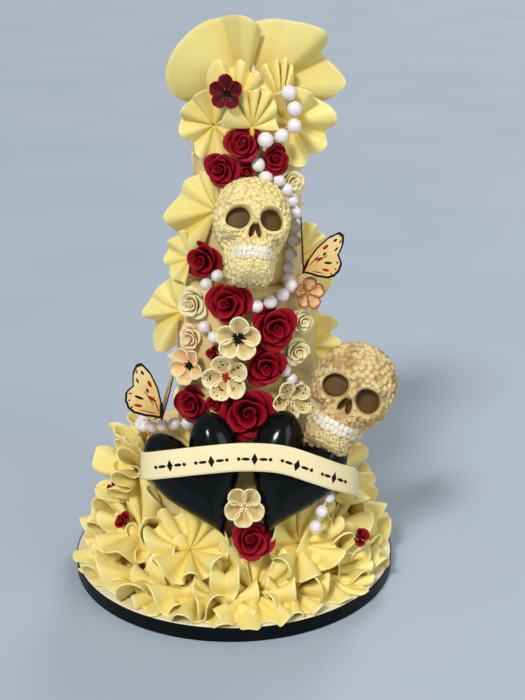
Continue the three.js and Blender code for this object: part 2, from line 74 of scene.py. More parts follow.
# Flowers on the tiers: name, tier, angle round it from the front, height, radius, tilt
# FACING is the share of that angle by which a flower turns from the front
FACING = 0.6
ROSES = {
    "red_rose": [
        ("rose_crown_middle", "top", -4, 412, 15.5, 14),
        ("rose_crown_left", "top", -25, 391, 15, 6),
        ("rose_crown_small", "top", -1, 390, 8.5, 4),
        ("rose_crown_right", "top", 26, 399, 13, 8),
        ("rose_skull_left", "top", -46, 311, 18, 4),
        ("rose_chin", "middle", -14, 279, 19.5, 12),
        ("rose_right_upper", "middle", 19, 258, 20.5, 8),
        ("rose_right_lower", "middle", 12, 223, 19, 8),
        ("rose_left_low", "middle", -45, 181, 17, 10),
        ("rose_heart", "middle", -1, 181, 25, 10),
        ("rose_heart_bud", "middle", -24, 186, 9, 4),
        ("rose_bud", "middle", -27, 232, 7, 4),
    ],
    "cream_flower": [
        ("rose_cream_crown", "top", 46, 377, 12.5, 6),
        ("rose_cream_left", "middle", -45, 275, 14, 4),
        ("rose_cream_right_upper", "middle", 44, 258, 11.5, 2),
        ("rose_cream_right_lower", "middle", 39, 231, 12, 2),
    ],
    "peach_flower": [("rose_peach_left", "middle", -48, 242, 11.5, 4)],
}
BLOSSOMS = {
    "cream_flower": [
        ("blossom_black_eye", "middle", -6, 252, 20, 10),
        ("blossom_spotted", "middle", -15, 215, 21, 8),
        ("blossom_spotted_right", "middle", 30, 190, 19, 10),
    ],
    "peach_flower": [
        ("blossom_peach", "middle", -44, 219, 17, 8),
        ("blossom_outlined", "middle", 44, 284, 14.5, 12),
    ],
}

# Flowers on the skirt, the hearts and the crown: name, place, [azimuth, tilt, roll], radius
SKIRT_ROSES = [
    ("rose_skirt_front", [15, -109, 76], [5, 24, 40], 18.5),
    ("rose_skirt_left", [-99, -59, 68], [-50, 30, 40], 9),
    ("rose_skirt_right", [112, -85, 65], [45, 34, 40], 9.5),
    ("rose_skirt_far_left", [-109, -45, 94], [-60, 20, 40], 7.5),
]
LOOSE_BLOSSOMS = {
    "cream_flower": ("blossom_hearts", [10, -108, 108], [0, 22, 0], 18),
    "dark_blossom": ("blossom_red", [-2, -60, 456], [-12, 10, 20], 14.5),
}

# Pearl strings: stops from the first bead's middle to the last, as points or (tier, angle, height)
PEARL = {"radius": 5.6, "spacing": 12.4, "neck": 1.1}
PEARL_SIZES = {"pearls_crown": 1.14, "pearls_skull": 1.05}
PEARLS = {
    "pearls_crown": [[48, -51, 455], [53, -51, 441], [52, -53, 427], [40, -57, 420], [29, -60, 418]],
    "pearls_skull": [
        ("top", 10, 396), ("top", 16, 386), ("top", 30, 381), ("top", 46, 362),
        ("top", 52, 336), ("top", 44, 312), ("top", 42, 297),
        ("middle", 31, 291), ("middle", 18, 282), ("middle", 6, 278),
    ],
    "pearls_left": [[-12, -52, 300], [-22, -47, 291]],
    "pearls_left_low": [("middle", -33, 256), ("middle", -25, 248)],
    "pearls_right": [("middle", 27, 217), ("middle", 33, 207), ("middle", 40, 198)],
    "pearls_hem": [
        ("middle", -52, 159), [-55, -40, 157], [-70, -33, 152],
        [-82, -22, 147], [-88, -4, 141], [-86, 14, 139],
    ],
    "pearls_skirt": [[84, -98, 112], [78, -104, 102], [72, -108, 88]],
}

# Ruffles: name, gather, [azimuth, elevation, roll], radius, sweep, pleats, bend of the pleats, seed
FRILL = {"thickness": 1.4, "cup": 0.14, "belly": 2.5, "foot": (2.4, 7, 5)}
RUFFLES = [
    ("frill_crown_rosette_left", [-14, -42, 427], [-12, -6, 0], 28, 360, 8, 64, 1),
    ("frill_crown_rosette_right", [50, -36, 427], [22, -6, 0], 33, 360, 8, 64, 2),
    ("frill_side_left_upper", [-36, -37, 312], [-36, 6, 92], 23, 165, 4, 52, 8),
    ("frill_side_right_upper", [60, -12, 306], [46, 4, -46], 30, 150, 4, 66, 10),
    ("frill_side_right_lower", [68, -26, 226], [42, 4, -64], 33, 150, 4, 66, 11),
]

# Shaped sheets: name, gather, [azimuth, elevation], rim stops of [angle from upright, reach, lift]
SHEETS = [
    ("frill_crown_left", [13, -28, 453], [-8, 2], [
        [-104, 45, -4], [-94, 60, 2], [-80, 67, 8], [-62, 67, 10], [-44, 66, 5], [-30, 65, -4],
        [-22, 63, -8], [-12, 62, 0], [-2, 61, 8], [8, 57, 7], [14, 51, -2],
    ]),
    ("frill_crown_right", [29, -26, 455], [10, 2], [
        [-22, 46, -10], [-7, 53, -10], [8, 56, -6], [20, 58, 1], [36, 63, 7], [47, 67, 9],
        [54, 65, 3], [61, 57, -9], [66, 58, -9], [76, 63, 0], [87, 67, 10], [96, 58, 8],
        [107, 46, -2],
    ]),
    ("frill_crown_front_left", [5, -45, 442], [-6, 8], [
        [-60, 27, -5], [-48, 33, -2], [-36, 38, 1], [-25, 41, 4], [-19, 40, 5], [-16, 36, 1],
        [-13, 33, -5], [-5, 32, -6], [-1, 35, -1], [4, 38, 4], [11, 37, 4], [15, 34, -1],
        [21, 30, -5], [27, 31, -3], [31, 34, 2], [40, 31, 0],
    ]),
    ("frill_crown_front_right", [42, -40, 444], [8, 8], [
        [-50, 23, 0], [-36, 29, -4], [-27, 34, 2], [-22, 35, 5], [-17, 34, -3], [-14, 33, -5],
        [-10, 35, 2], [-6, 36, 6], [-2, 35, -2], [1, 35, -5], [4, 37, 4], [7, 37, 6], [10, 35, -3],
        [13, 34, -3], [17, 32, 4], [22, 27, 3], [32, 21, -2],
    ]),
    ("frill_crown_middle", [18, -55, 427], [0, -4], [
        [-86, 25, 0], [-70, 25, 4], [-54, 26, 6], [-38, 28, 5], [-28, 28, -5], [-20, 31, 3],
        [-13, 32, 5], [-6, 29, -5], [1, 31, 4], [8, 33, 5], [13, 31, -5], [20, 32, 4], [27, 33, 5],
        [33, 30, -4], [42, 28, 4], [52, 25, 4], [62, 21, -3], [74, 20, 3], [92, 22, 4],
    ]),
    ("frill_side_left_upper", [-12, -42, 355], [-32, 6], [
        [0, 20, -4], [-8, 25, -3], [-15, 31, 2], [-25, 35, 4], [-33, 35, -2], [-41, 36, -5],
        [-49, 38, -2], [-57, 39, 2], [-66, 39, 1], [-76, 40, -2], [-85, 43, 0], [-93, 46, 5],
        [-102, 49, 10], [-109, 48, 8], [-116, 50, -3], [-122, 52, -9], [-129, 55, -4],
        [-138, 54, 4], [-148, 50, 3], [-158, 44, -4],
    ]),
    ("frill_side_left_lower", [-45, -30, 261], [-38, 4], [
        [14, 30, -5], [6, 33, -3], [-6, 31, 2], [-17, 31, 3], [-29, 31, -1], [-43, 31, -2],
        [-56, 31, 2], [-67, 32, 3], [-77, 34, 1], [-88, 36, 4], [-98, 38, 9], [-104, 39, 9],
        [-109, 38, 4], [-113, 38, -4], [-120, 41, -8], [-129, 47, -5], [-138, 47, 0],
        [-146, 46, 5], [-153, 44, 7], [-159, 42, 4], [-165, 34, -4],
    ]),
]

# Bundles of full rosettes round the bottom tier and down the back
NEAT = {"uneven": 0.0, "stand": 0.0, "hang": 0.0, "curl": 0.0}
LOOSE = {"uneven": 0.2, "stand": 0.2, "hang": 0.04, "curl": 0.4}
BUNDLE = {"pleats": (8, 10), "bend": 92, "cup": (0.26, 0.48), "tilt": (16, 12, 40)}
BACK = {"share": 0.74, "stand": 4, "lean": 10}
BACK_PLACES = [
    ("middle", 158, 176), ("middle", 202, 214), ("middle", 158, 252),
    ("top", 192, 296), ("top", 166, 340), ("top", 194, 382), ("top", 170, 426),
]
SKIRT_AXIS = {"axis": 1}
SEEDS = {"back": 40, "row": 100, "folds": 500, "rose": 1000, "blossom": 2000, "loose_blossom": 2100}

# Rows of the skirt: reach in front, inset at the sides, height, lean, radius, angles, number behind
SKIRT_ROWS = [
    (119, 9, 28, 60, 39, [-72, -43, -17, 8, 44, 72], 6),
    (106, 0, 61, 50, 37, [-88, -55, -22, 33, 60, 90], 5),
    (97, 0, 105, 34, 34, [-74, 72], 4),
    (123, 9, 24, 64, 30, [-88, -57, -30, -4, 26, 58], 6),
]

# The photograph's camera, in its 525 by 700 frame
CAMERA = {"eye": (10, -1049.9, 588.2), "target": (27.45, 0, 213.6)}
FOCAL_PIXELS = 1206.4
LONG_PIXELS = 700
SENSOR = 36


# Places and frames
def turn_z(degrees):
    c, s = math.cos(math.radians(degrees)), math.sin(math.radians(degrees))
    return np.array([[c, -s, 0], [s, c, 0], [0, 0, 1]])


def turn_x(degrees):
    c, s = math.cos(math.radians(degrees)), math.sin(math.radians(degrees))
    return np.array([[1, 0, 0], [0, c, -s], [0, s, c]])


def stance(at, facing):
    """A piece's frame: +Z faces outwards, +Y is up, and roll turns it anticlockwise as looked at."""
    azimuth, elevation, roll = facing
    axes = turn_z(azimuth) @ turn_x(90 - elevation) @ turn_z(roll)
    return lambda points: points @ axes.T + at


def local_axes(place, axes):
    """Directions of a piece's frame turned into the cake's."""
    return place(axes) - place(np.zeros(3))


def circle(steps):
    return np.linspace(0, 2 * np.pi, steps, endpoint=False)


def polar(reach, angle, height):
    """Points at an angle taken clockwise from +Y."""
    return np.stack(np.broadcast_arrays(reach * np.sin(angle), reach * np.cos(angle), height), axis=-1)


def around(tier, angle, reach, height):
    a = math.radians(angle)
    return [tier["axis"] + reach * math.sin(a), -reach * math.cos(a), height]


def unit(vectors):
    return vectors / np.maximum(np.linalg.norm(vectors, axis=-1, keepdims=True), 1e-9)


def smoothstep(low, high, value):
    t = np.clip((value - low) / (high - low), 0, 1)
    return t * t * (3 - 2 * t)


def smooth_path(stops, steps=24):
    """Points of a centripetal Catmull-Rom curve through the stops."""
    stops = np.asarray(stops, float)
    line = [2 * stops[0] - stops[1], *stops, 2 * stops[-1] - stops[-2]]
    t = np.linspace(0, 1, steps, endpoint=False)[:, None]
    path = []
    for p0, p1, p2, p3 in zip(line, line[1:], line[2:], line[3:]):
        d0, d1, d2 = (np.linalg.norm(b - a) ** 0.5 for a, b in ((p0, p1), (p1, p2), (p2, p3)))
        m1 = ((p1 - p0) / d0 - (p2 - p0) / (d0 + d1) + (p2 - p1) / d1) * d1
        m2 = ((p2 - p1) / d1 - (p3 - p1) / (d1 + d2) + (p3 - p2) / d2) * d1
        ends = (2 * t**3 - 3 * t**2 + 1) * p1 + (3 * t**2 - 2 * t**3) * p2
        path.append(ends + (t**3 - 2 * t**2 + t) * m1 + (t**3 - t**2) * m2)
    return np.concatenate([*path, stops[-1:]])


def walk(path, count):
    """Evenly spaced points along a path, and the directions there."""
    away = np.concatenate([[0], np.cumsum(np.linalg.norm(np.diff(path, axis=0), axis=1))])
    steps = np.linspace(0, away[-1], count)
    points = np.stack([np.interp(steps, away, path[:, k]) for k in range(3)], axis=1)
    return points, unit(np.gradient(points, axis=0)), away[-1]


# Meshes: grids of points with painted marks, gathered into one piece
# Marks a material colours by: deep is painted shade in folds, hollows, gaps and crevices, except on the
# wings, where it is their real amber root; rim is mostly a painted highlight on thin edges, except for
# one blossom's real red outline, the skulls' brown sockets and the wings' pale rims; tint is real
# painted colour
MARKS = ("rim", "deep", "tint")
WELD = 1e-6


class Model:
    """Points, faces and marks of one piece, in millimetres."""

    def __init__(self):
        self.points, self.faces, self.kinds = [], [], []
        self.marks = {mark: [] for mark in MARKS}
        self.count = 0

    def grid(self, points, around_rows=False, around_columns=False, kind=0, **marks):
        rows, columns = points.shape[:2]
        i = np.arange(rows if around_rows else rows - 1)[:, None]
        j = np.arange(columns if around_columns else columns - 1)[None, :]
        i2, j2 = (i + 1) % rows, (j + 1) % columns
        corners = [i * columns + j, i2 * columns + j, i2 * columns + j2, i * columns + j2]
        faces = np.stack(corners, axis=-1).reshape(-1, 4)
        self.faces.append(faces + self.count)
        self.kinds.append(np.full(len(faces), kind))
        self.points.append(points.reshape(-1, 3))
        for mark in MARKS:
            value = np.broadcast_to(marks.get(mark, 0.0), (rows, columns))
            self.marks[mark].append(value.reshape(-1))
        self.count += rows * columns


def piece(name, model, node, slot, *materials):
    """One object from a model: welded, facing outwards, riding on the cake in place of its node."""
    mesh = bpy.data.meshes.new(name)
    mesh.from_pydata(np.concatenate(model.points) * MM, [], np.concatenate(model.faces))
    mesh.polygons.foreach_set("material_index", np.concatenate(model.kinds))
    for mark, values in model.marks.items():
        layer = mesh.attributes.new(mark, "FLOAT", "POINT")
        layer.data.foreach_set("value", np.concatenate(values))
    work = bmesh.new()
    work.from_mesh(mesh)
    bmesh.ops.remove_doubles(work, verts=work.verts, dist=WELD)
    bmesh.ops.recalc_face_normals(work, faces=work.faces)
    for face in work.faces:
        face.smooth = True
    work.to_mesh(mesh)
    work.free()
    for material in materials:
        mesh.materials.append(material)
    made = bpy.data.objects.new(name, mesh)
    bpy.context.scene.collection.objects.link(made)
    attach(made, "root")
    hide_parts(node)


# Sheets: a grid of middle points given a thickness and rounded edges
EDGE = np.radians([40, 90])


def slab(model, points, thickness, round_trip=False, kind=0, place=None, **marks):
    du = np.gradient(points, axis=0)
    if round_trip:
        du = np.roll(points, -1, axis=0) - np.roll(points, 1, axis=0)
    shape = points.shape[:2]
    fields = {mark: np.broadcast_to(value, shape) for mark, value in marks.items()}
    fields["points"] = points
    fields["normal"] = unit(np.cross(du, np.gradient(points, axis=1)))
    fields["half"] = np.broadcast_to(thickness / 2, shape).astype(float)
    for axis, end in ((1, -1),) if round_trip else ((1, -1), (0, 0), (0, -1)):
        last = {name: np.take(value, [end], axis=axis) for name, value in fields.items()}
        inside = np.take(fields["points"], [1 if end == 0 else -2], axis=axis)
        out = unit(last["points"] - inside) * last["half"][..., None]
        added = {name: [value] * len(EDGE) for name, value in last.items()}
        added["points"] = [last["points"] + out * math.sin(a) for a in EDGE]
        added["half"] = [last["half"] * math.cos(a) for a in EDGE]
        for name, rows in added.items():
            joined = [*rows[::-1], fields[name]] if end == 0 else [fields[name], *rows]
            fields[name] = np.concatenate(joined, axis=axis)
    points, normal, half = (fields.pop(name) for name in ("points", "normal", "half"))
    lift = normal * half[..., None]
    section = np.concatenate([points + lift, (points - lift)[:, -2::-1]], axis=1)
    if place is not None:
        section = place(section)
    both = {mark: np.concatenate([value, value[:, -2::-1]], axis=1) for mark, value in fields.items()}
    model.grid(section, round_trip, True, kind, **both)


def lathe(model, profile, axis=0, closed=False):
    reach, height = np.array(profile, float).T
    model.grid(polar(reach, circle(180)[:, None], height) + [axis, 0, 0], True, closed)


def shoulder(radius, top, edge):
    """Places of a profile round its upper edge."""
    turns = np.radians(np.linspace(0, 90, 8))
    return [(radius - edge + edge * math.cos(a), top - edge + edge * math.sin(a)) for a in turns]


def blob(model, middle, axes, kind=0, steps=(16, 10), **marks):
    """An ellipsoid with its three half axes given as vectors."""
    turn = circle(steps[0])[:, None, None]
    rise = np.linspace(-np.pi / 2, np.pi / 2, steps[1])[:, None]
    a, b, c = np.array(axes, float)
    ring = np.cos(turn) * a + np.sin(turn) * b
    model.grid(np.cos(rise) * ring + np.sin(rise) * c + middle, True, False, kind, **marks)


def bead(model, place, middle, halves, kind=0, steps=(16, 10), **marks):
    """An ellipsoid along the axes of a piece's frame."""
    blob(model, place(middle), local_axes(place, np.diag(halves)), kind, steps, **marks)


# Materials: colours are linear, and detail sizes are in millimetres
class Paint:
    """One material, and short ways to add nodes to it."""

    def __init__(self, name):
        self.material = bpy.data.materials.new(name)
        self.material.use_nodes = True
        self.tree = self.material.node_tree

    def feed(self, node, inputs):
        for name, value in inputs.items():
            if isinstance(value, bpy.types.NodeSocket):
                self.tree.links.new(value, node.inputs[name])
            else:
                node.inputs[name].default_value = value

    def node(self, kind, output, inputs, **settings):
        """A new node's output, its inputs being values or other outputs."""
        made = self.tree.nodes.new(f"ShaderNode{kind}")
        for name, value in settings.items():
            setattr(made, name, value)
        self.feed(made, inputs)
        return made.outputs[output]

    def noise(self, size, detail=3):
        place = self.node("TexCoord", "Object", {})
        inputs = {"Vector": place, "Scale": 1 / (size * MM), "Detail": detail, "Roughness": 0.55}
        return self.node("TexNoise", "Fac", inputs)

    def remap(self, value, low, high, to_low=0, to_high=1):
        spread = {"From Min": low, "From Max": high, "To Min": to_low, "To Max": to_high}
        return self.node("MapRange", "Result", {"Value": value, **spread})

    def mixed(self, factor, *colours):
        first, second = ((*c, 1) if isinstance(c, tuple) else c for c in colours)
        return self.node("Mix", 2, {"Factor": factor, 6: first, 7: second}, data_type="RGBA")

    def marked(self, colour, **others):
        """A colour with others laid over it, each by the mark of its name."""
        for mark, other in others.items():
            if other is not None:
                factor = self.node("Attribute", "Fac", {}, attribute_name=mark)
                colour = self.mixed(factor, colour, other)
        return colour

    def finish(self, inputs, bumps=()):
        """Bumps are (height, strength, distance in millimetres), one over another."""
        normal = {}
        for height, strength, distance in bumps:
            layer = {"Height": height, "Strength": strength, "Distance": distance * MM, **normal}
            normal = {"Normal": self.node("Bump", "Normal", layer)}
        self.feed(self.tree.nodes["Principled BSDF"], {**inputs, **normal})
        return self.material


def paste(name, base, deep, rim, tint=None, roughness=0.5, gloss=0.35, soft=0):
    """Sugar or chocolate paste: darker and richer in its folds as painted shade, paler on its thin cut
    edges as a painted highlight (the outlined blossom's red edge is real paint), faintly mottled.
    """
    paint = Paint(name)
    patches, grain = paint.noise(26), paint.noise(1.4, 4)
    worn = tuple(0.55 * b + 0.45 * d for b, d in zip(base, deep))
    colour = paint.mixed(paint.remap(patches, 0.3, 0.7, 0, 0.5), base, worn)
    return paint.finish({
        "Base Color": paint.marked(colour, deep=deep, rim=rim, tint=tint),
        "Roughness": paint.remap(grain, 0.3, 0.7, roughness - 0.08, roughness + 0.1),
        "Specular IOR Level": gloss,
        "Subsurface Weight": soft,
        "Subsurface Radius": (1, 0.7, 0.25),
        "Subsurface Scale": 3 * MM,
    }, [(patches, 0.25, 1.2), (grain, 0.12, 0.3)])


def glossy(name, base, other, roughness, coat, grain_size, grain_strength):
    """Glazed, satin or lacquered surfaces."""
    paint = Paint(name)
    patches, grain = paint.noise(20), paint.noise(grain_size, 4)
    return paint.finish({
        "Base Color": paint.mixed(paint.remap(patches, 0.35, 0.65), base, other),
        "Roughness": paint.remap(grain, 0.3, 0.7, roughness * 0.8, roughness * 1.3),
        "Specular IOR Level": 0.1,
        "Coat Weight": coat,
        "Coat Roughness": 0.1,
    }, [(patches, 0.15, 1.5), (grain, grain_strength, 0.2)])


def bone(name, base, worn, crevice, antique):
    """Moulded chocolate bone: brown in its sockets, darkened with painted shade in its pits and between
    its knobs, white teeth, dusted in patches.
    """
    paint = Paint(name)
    specks = paint.noise(1.6)
    colour = paint.mixed(paint.remap(paint.noise(15, 5), 0.46, 0.62, 0, antique), base, worn)
    colour = paint.mixed(paint.remap(specks, 0.55, 0.75, 0, 0.35), colour, worn)
    return paint.finish({
        "Base Color": paint.marked(colour, deep=crevice, rim=SOCKET_BROWN, tint=TOOTH_WHITE),
        "Roughness": 0.55,
        "Specular IOR Level": 0.2,
    }, [(paint.noise(3.2, 4), 0.35, 0.9), (specks, 0.3, 0.4)])


def pearl_material():
    paint = Paint("pearl_lustre")
    clouds = paint.noise(5, 2)
    colour = paint.mixed(paint.remap(clouds, 0.35, 0.65), (0.88, 0.84, 0.82), (0.84, 0.74, 0.74))
    return paint.finish({
        # The deep colour is painted shade, laid on the thread between the beads
        "Base Color": paint.marked(colour, deep=(0.55, 0.42, 0.33)),
        "Roughness": paint.remap(paint.noise(2), 0.3, 0.7, 0.22, 0.36),
        "Coat Weight": 0.5,
        "Coat Roughness": 0.15,
        "Sheen Weight": 0.15,
    }, [(clouds, 0.15, 0.4)])


def wing_material():
    """Painted wafer paper: amber at the root, pale towards the rim, with soft brush streaks."""
    paint = Paint("wing_paint")
    wash = paint.noise(7, 4)
    colour = paint.mixed(paint.remap(wash, 0.35, 0.65), (0.76, 0.57, 0.22), (0.7, 0.47, 0.14))
    colour = paint.marked(colour, deep=(0.6, 0.27, 0.06), rim=(0.78, 0.6, 0.28))
    bumps = [(wash, 0.2, 0.4), (paint.noise(0.8), 0.2, 0.15)]
    return paint.finish({"Base Color": colour, "Roughness": 0.6}, bumps)


SOCKET_BROWN = (0.11, 0.06, 0.016)
TOOTH_WHITE = (0.86, 0.81, 0.68)
# The tiers' icing is a darker, yellower copy of the board's icing: painted shade on the walls between
# the flowers
TIER_ICING_SHADED = paste("icing", (0.79, 0.62, 0.25), (0.62, 0.44, 0.18), (0.84, 0.72, 0.44), soft=0.1)
BOARD_ICING = paste("board_icing", (0.86, 0.77, 0.53), (0.78, 0.65, 0.38), (0.88, 0.8, 0.58), soft=0.1)
YELLOW = paste("frill_paste", (0.9, 0.77, 0.29), (0.82, 0.56, 0.06), (0.94, 0.84, 0.43), soft=0.2)
# A darker copy of the frill paste, a little more saturated: painted shade over the crown's two big fans
SHADED_FAN = paste("fan_paste_shaded", (0.75, 0.65, 0.23), (0.7, 0.5, 0.09), (0.83, 0.75, 0.36), soft=0.15)
RED = paste("red_paste", (0.26, 0.003, 0.01), (0.04, 0.0004, 0.002), (0.36, 0.006, 0.02),
            roughness=0.45, gloss=0.12)
DARK_RED = paste("dark_red_paste", (0.15, 0.003, 0.007), (0.04, 0.001, 0.002), (0.22, 0.006, 0.01),
                 gloss=0.2)
CREAM = paste("cream_paste", (0.86, 0.72, 0.38), (0.5, 0.34, 0.11), (0.9, 0.79, 0.48),
              (0.84, 0.45, 0.2), roughness=0.48, soft=0.1)
CREAM_ROSE = paste("cream_rose_paste", (0.88, 0.77, 0.42), (0.74, 0.54, 0.18), (0.91, 0.83, 0.52),
                   soft=0.1)
PEACH = paste("peach_paste", (0.88, 0.71, 0.4), (0.74, 0.42, 0.15), (0.91, 0.74, 0.44),
              (0.8, 0.38, 0.15), roughness=0.48, soft=0.1)
OUTLINED = paste("outlined_paste", (0.82, 0.55, 0.25), (0.6, 0.34, 0.12), (0.3, 0.012, 0.014))
BANNER_PASTE = paste("banner_paste", (0.87, 0.75, 0.44), (0.8, 0.62, 0.3), (0.89, 0.79, 0.5))
BLACK = glossy("black_glaze", (0.002, 0.003, 0.003), (0.003, 0.005, 0.005), 0.16, 0.2, 1.2, 0.05)
RIBBON_BLACK = glossy("ribbon_satin", (0.002, 0.003, 0.004), (0.004, 0.005, 0.006), 0.36, 0, 0.6, 0.15)
INK = glossy("ink", (0.006, 0.005, 0.005), (0.014, 0.01, 0.008), 0.45, 0, 1, 0.05)
RED_INK = glossy("red_ink", (0.36, 0.02, 0.012), (0.26, 0.012, 0.01), 0.5, 0, 1, 0.05)
BONE_PALE = bone("bone_pale", (0.89, 0.75, 0.35), (0.76, 0.57, 0.22), (0.46, 0.29, 0.09), 0.3)
BONE_ANTIQUE = bone("bone_antique", (0.78, 0.61, 0.29), (0.43, 0.25, 0.09), (0.22, 0.13, 0.035), 0.8)
PEARL_LUSTRE = pearl_material()
WING_PAINT = wing_material()


# Board, ribbon and tiers
def make_board():
    radius, height, edge, chamfer = BOARD.values()
    side = [(radius - chamfer, 0), (radius, chamfer), *shoulder(radius, height, edge)]
    model = Model()
    lathe(model, [(0, 0), *side, (radius / 2, height), (0, height)])
    piece("board_iced", model, "board", "icing", BOARD_ICING)


def make_ribbon():
    inner = BOARD["radius"] + GAP / 2
    outer = inner + RIBBON["thickness"]
    foot = (BOARD["height"] - RIBBON["width"]) / 2
    head = foot + RIBBON["width"]
    face = [(outer, foot + share * RIBBON["width"]) for share in np.linspace(0.03, 0.97, 8)]
    rolled = outer - RIBBON["rolled"]
    model = Model()
    lathe(model, [(inner, foot), (rolled, foot), *face, (rolled, head), (inner, head)], closed=True)
    turns = np.radians(np.linspace(*RIBBON["tail"], 14))[:, None]
    slab(model, polar(outer - 0.15, turns, np.linspace(foot + 0.1, head - 0.1, 6)), 0.5)
    piece("ribbon_band", model, "board_ribbon", "ribbon", RIBBON_BLACK)


def make_tier(name, tier):
    edge, radius, top = tier["edge"], tier["radius"], tier["top"]
    side = np.linspace((tier["foot"], tier["base"]), (radius, top - edge), 24)
    side = [*side, *shoulder(radius, top, edge)[1:]]
    model = Model()
    lathe(model, [(0, tier["base"]), *side, (radius / 2, top), (0, top)], tier["axis"])
    piece(f"tier_{name}_iced", model, f"tier_{name}", "icing", TIER_ICING_SHADED)


# Frills: straight rays from a pinched gather to a rim that runs in meanders
# RIDGE makes each pleat steeper on one side, and LYING rounds the bend where a sheet meets the board
RAYS = np.array([0.015, 0.12, 0.27, 0.44, 0.62, 0.8, 0.93, 0.98, 1.0])
RIDGE = 1.25
LYING = 1.5


def meander(pleats, bend, draw, full, uneven):
    """Places along the rim from 0 to 1, and its lift in lengths of the rim's arc."""
    low = np.cos(2 * np.pi * (np.arange(pleats) + 0.5) / pleats)
    shares = (1 + uneven * low) * draw.uniform(0.65, 1.35, pleats)
    stops = np.concatenate([[0], np.cumsum(shares) / shares.sum()])
    s = np.linspace(0, 1, 16 * pleats, endpoint=not full)
    place = np.interp(s, stops, np.arange(pleats + 1))
    phase = 2 * np.pi * (np.floor(place) + (place % 1) ** RIDGE)
    bends = np.radians(bend * (1 - 0.55 * uneven * low) * draw.uniform(0.82, 1.16, pleats))
    middles = (stops[1:] + stops[:-1]) / 2
    course = np.interp(s, middles, bends, period=1 if full else None) * np.cos(phase)
    across, lift = np.cumsum(np.cos(course)), np.cumsum(np.sin(course))
    level = np.interp(s, stops, np.interp(stops, s, lift))
    start = 0 if full else across[0]
    total = across[-1] - start
    return (across - start) / total, (lift - level) / total


def sheet_marks(lift, rho):
    """Painted shade in the folds and near the gather, and a painted highlight on the cut edge."""
    valley = np.clip(-lift / (np.abs(lift).max() + 1e-6), 0, 1)
    deep = np.clip(0.75 * valley * (1.2 - rho) + 0.7 * (1 - rho) ** 2, 0, 1)
    return {"deep": deep, "rim": 0.5 * smoothstep(0.96, 0.99, rho)}


def thinned(rho, share):
    """A sheet's thickness, which is less towards the gather."""
    return FRILL["thickness"] * (share + (1 - share) * smoothstep(0, 0.4, rho))


def lying(points):
    """Points that would sink into the board come to lie on it."""
    over = points[..., 2] - BOARD["height"] - FRILL["thickness"]
    points[..., 2] += (np.sqrt(over**2 + LYING**2) - over) / 2
    return points


def ruffle(model, at, facing, radius, sweep, pleats, bend, seed, cup=FRILL["cup"], folds=NEAT):
    draw = np.random.default_rng(seed)
    full = sweep == 360
    across, lift = meander(pleats, bend, draw, full, folds["uneven"])
    angle = np.radians((0.5 - across) * sweep)[:, None]
    rise = (lift * radius * math.radians(sweep))[:, None]
    rise = np.clip(rise, -0.5 * radius, 0.5 * radius)
    rho = RAYS[None, :]
    wobble = 1 + sum(0.045 * np.sin(k * angle + draw.uniform(0, 6)) for k in (1, 2, 4))
    wobble = wobble - folds["hang"] * np.cos(angle)
    reach = (np.sqrt(radius**2 - rise**2) + 0.15 * rise) * wobble
    high = rise * rho + (cup + folds["stand"] * np.cos(angle)) * radius * rho**2
    curl = sum(np.sin(k * angle + draw.uniform(0, 6)) for k in (2, 3))
    swept = angle + folds["curl"] * curl * rho * (1 - rho)
    points = lying(stance(at, facing)(polar(reach * rho, swept, high)))
    slab(model, points, thinned(rho, 0.3), full, **sheet_marks(rise, rho))


def broad_sheet(model, at, facing, stops):
    angle, reach, lift = np.array(stops, float).T
    rim = walk(smooth_path(polar(reach, np.radians(angle), lift)), 110)[0]
    rho = RAYS[None, :]
    points = rho[..., None] * rim[:, None]
    points[..., 2] += FRILL["belly"] * np.sin(np.pi * rho)
    place = stance(at, [*facing, 0])
    slab(model, points, thinned(rho, 0.4), place=place, **sheet_marks(rim[:, 2:], rho))
    wide, tall, thick = FRILL["foot"]
    # The knot at the gather is painted all in the shade colour
    bead(model, place, [0, -tall / 2, -thick / 2], (wide, tall, thick), 0, (14, 10), deep=1.0)


FANS = ("frill_crown_left", "frill_crown_right")


def make_frills():
    models = {}
    for name, *shape in RUFFLES:
        ruffle(models.setdefault(name, Model()), *shape)
    for name, *shape in SHEETS:
        broad_sheet(models.setdefault(name, Model()), *shape)
    for name, model in models.items():
        piece(f"{name}_sheet", model, name, "frill", SHADED_FAN if name in FANS else YELLOW)


def bundle(name, node, places):
    model = Model()
    for at, facing, radius, seed in places:
        draw = np.random.default_rng(seed)
        pleats = int(draw.integers(*BUNDLE["pleats"], endpoint=True))
        tilt = [angle + draw.uniform(-most, most) for angle, most in zip(facing, BUNDLE["tilt"])]
        size = radius * draw.uniform(0.93, 1.05)
        cup = draw.uniform(*BUNDLE["cup"])
        ruffle(model, at, tilt, size, 360, pleats, BUNDLE["bend"], seed + SEEDS["folds"], cup, LOOSE)
    piece(name, model, node, "frill", YELLOW)


def make_back_frills():
    places = []
    for i, (tier, angle, height) in enumerate(BACK_PLACES):
        radius = TIERS[tier]["radius"]
        at = around(TIERS[tier], angle, radius + BACK["stand"], height)
        places.append((at, [angle, BACK["lean"], 0], BACK["share"] * radius, SEEDS["back"] + i))
    bundle("frill_back_sheets", "frill_back", places)


def make_skirt():
    for row, (reach, inset, height, lean, radius, front, behind) in enumerate(SKIRT_ROWS, 1):
        step = (360 + front[0] - front[-1]) / (behind + 1)
        angles = [*front, *(front[-1] + (i + 1) * step for i in range(behind))]
        places = []
        for i, angle in enumerate(angles):
            drawn_in = inset * math.sin(math.radians(angle)) ** 2
            at = around(SKIRT_AXIS, angle, reach - drawn_in, height)
            places.append((at, [angle, lean, 0], radius, SEEDS["row"] * row + i))
        bundle(f"frill_skirt_row_{row}", "frill_skirt", places)


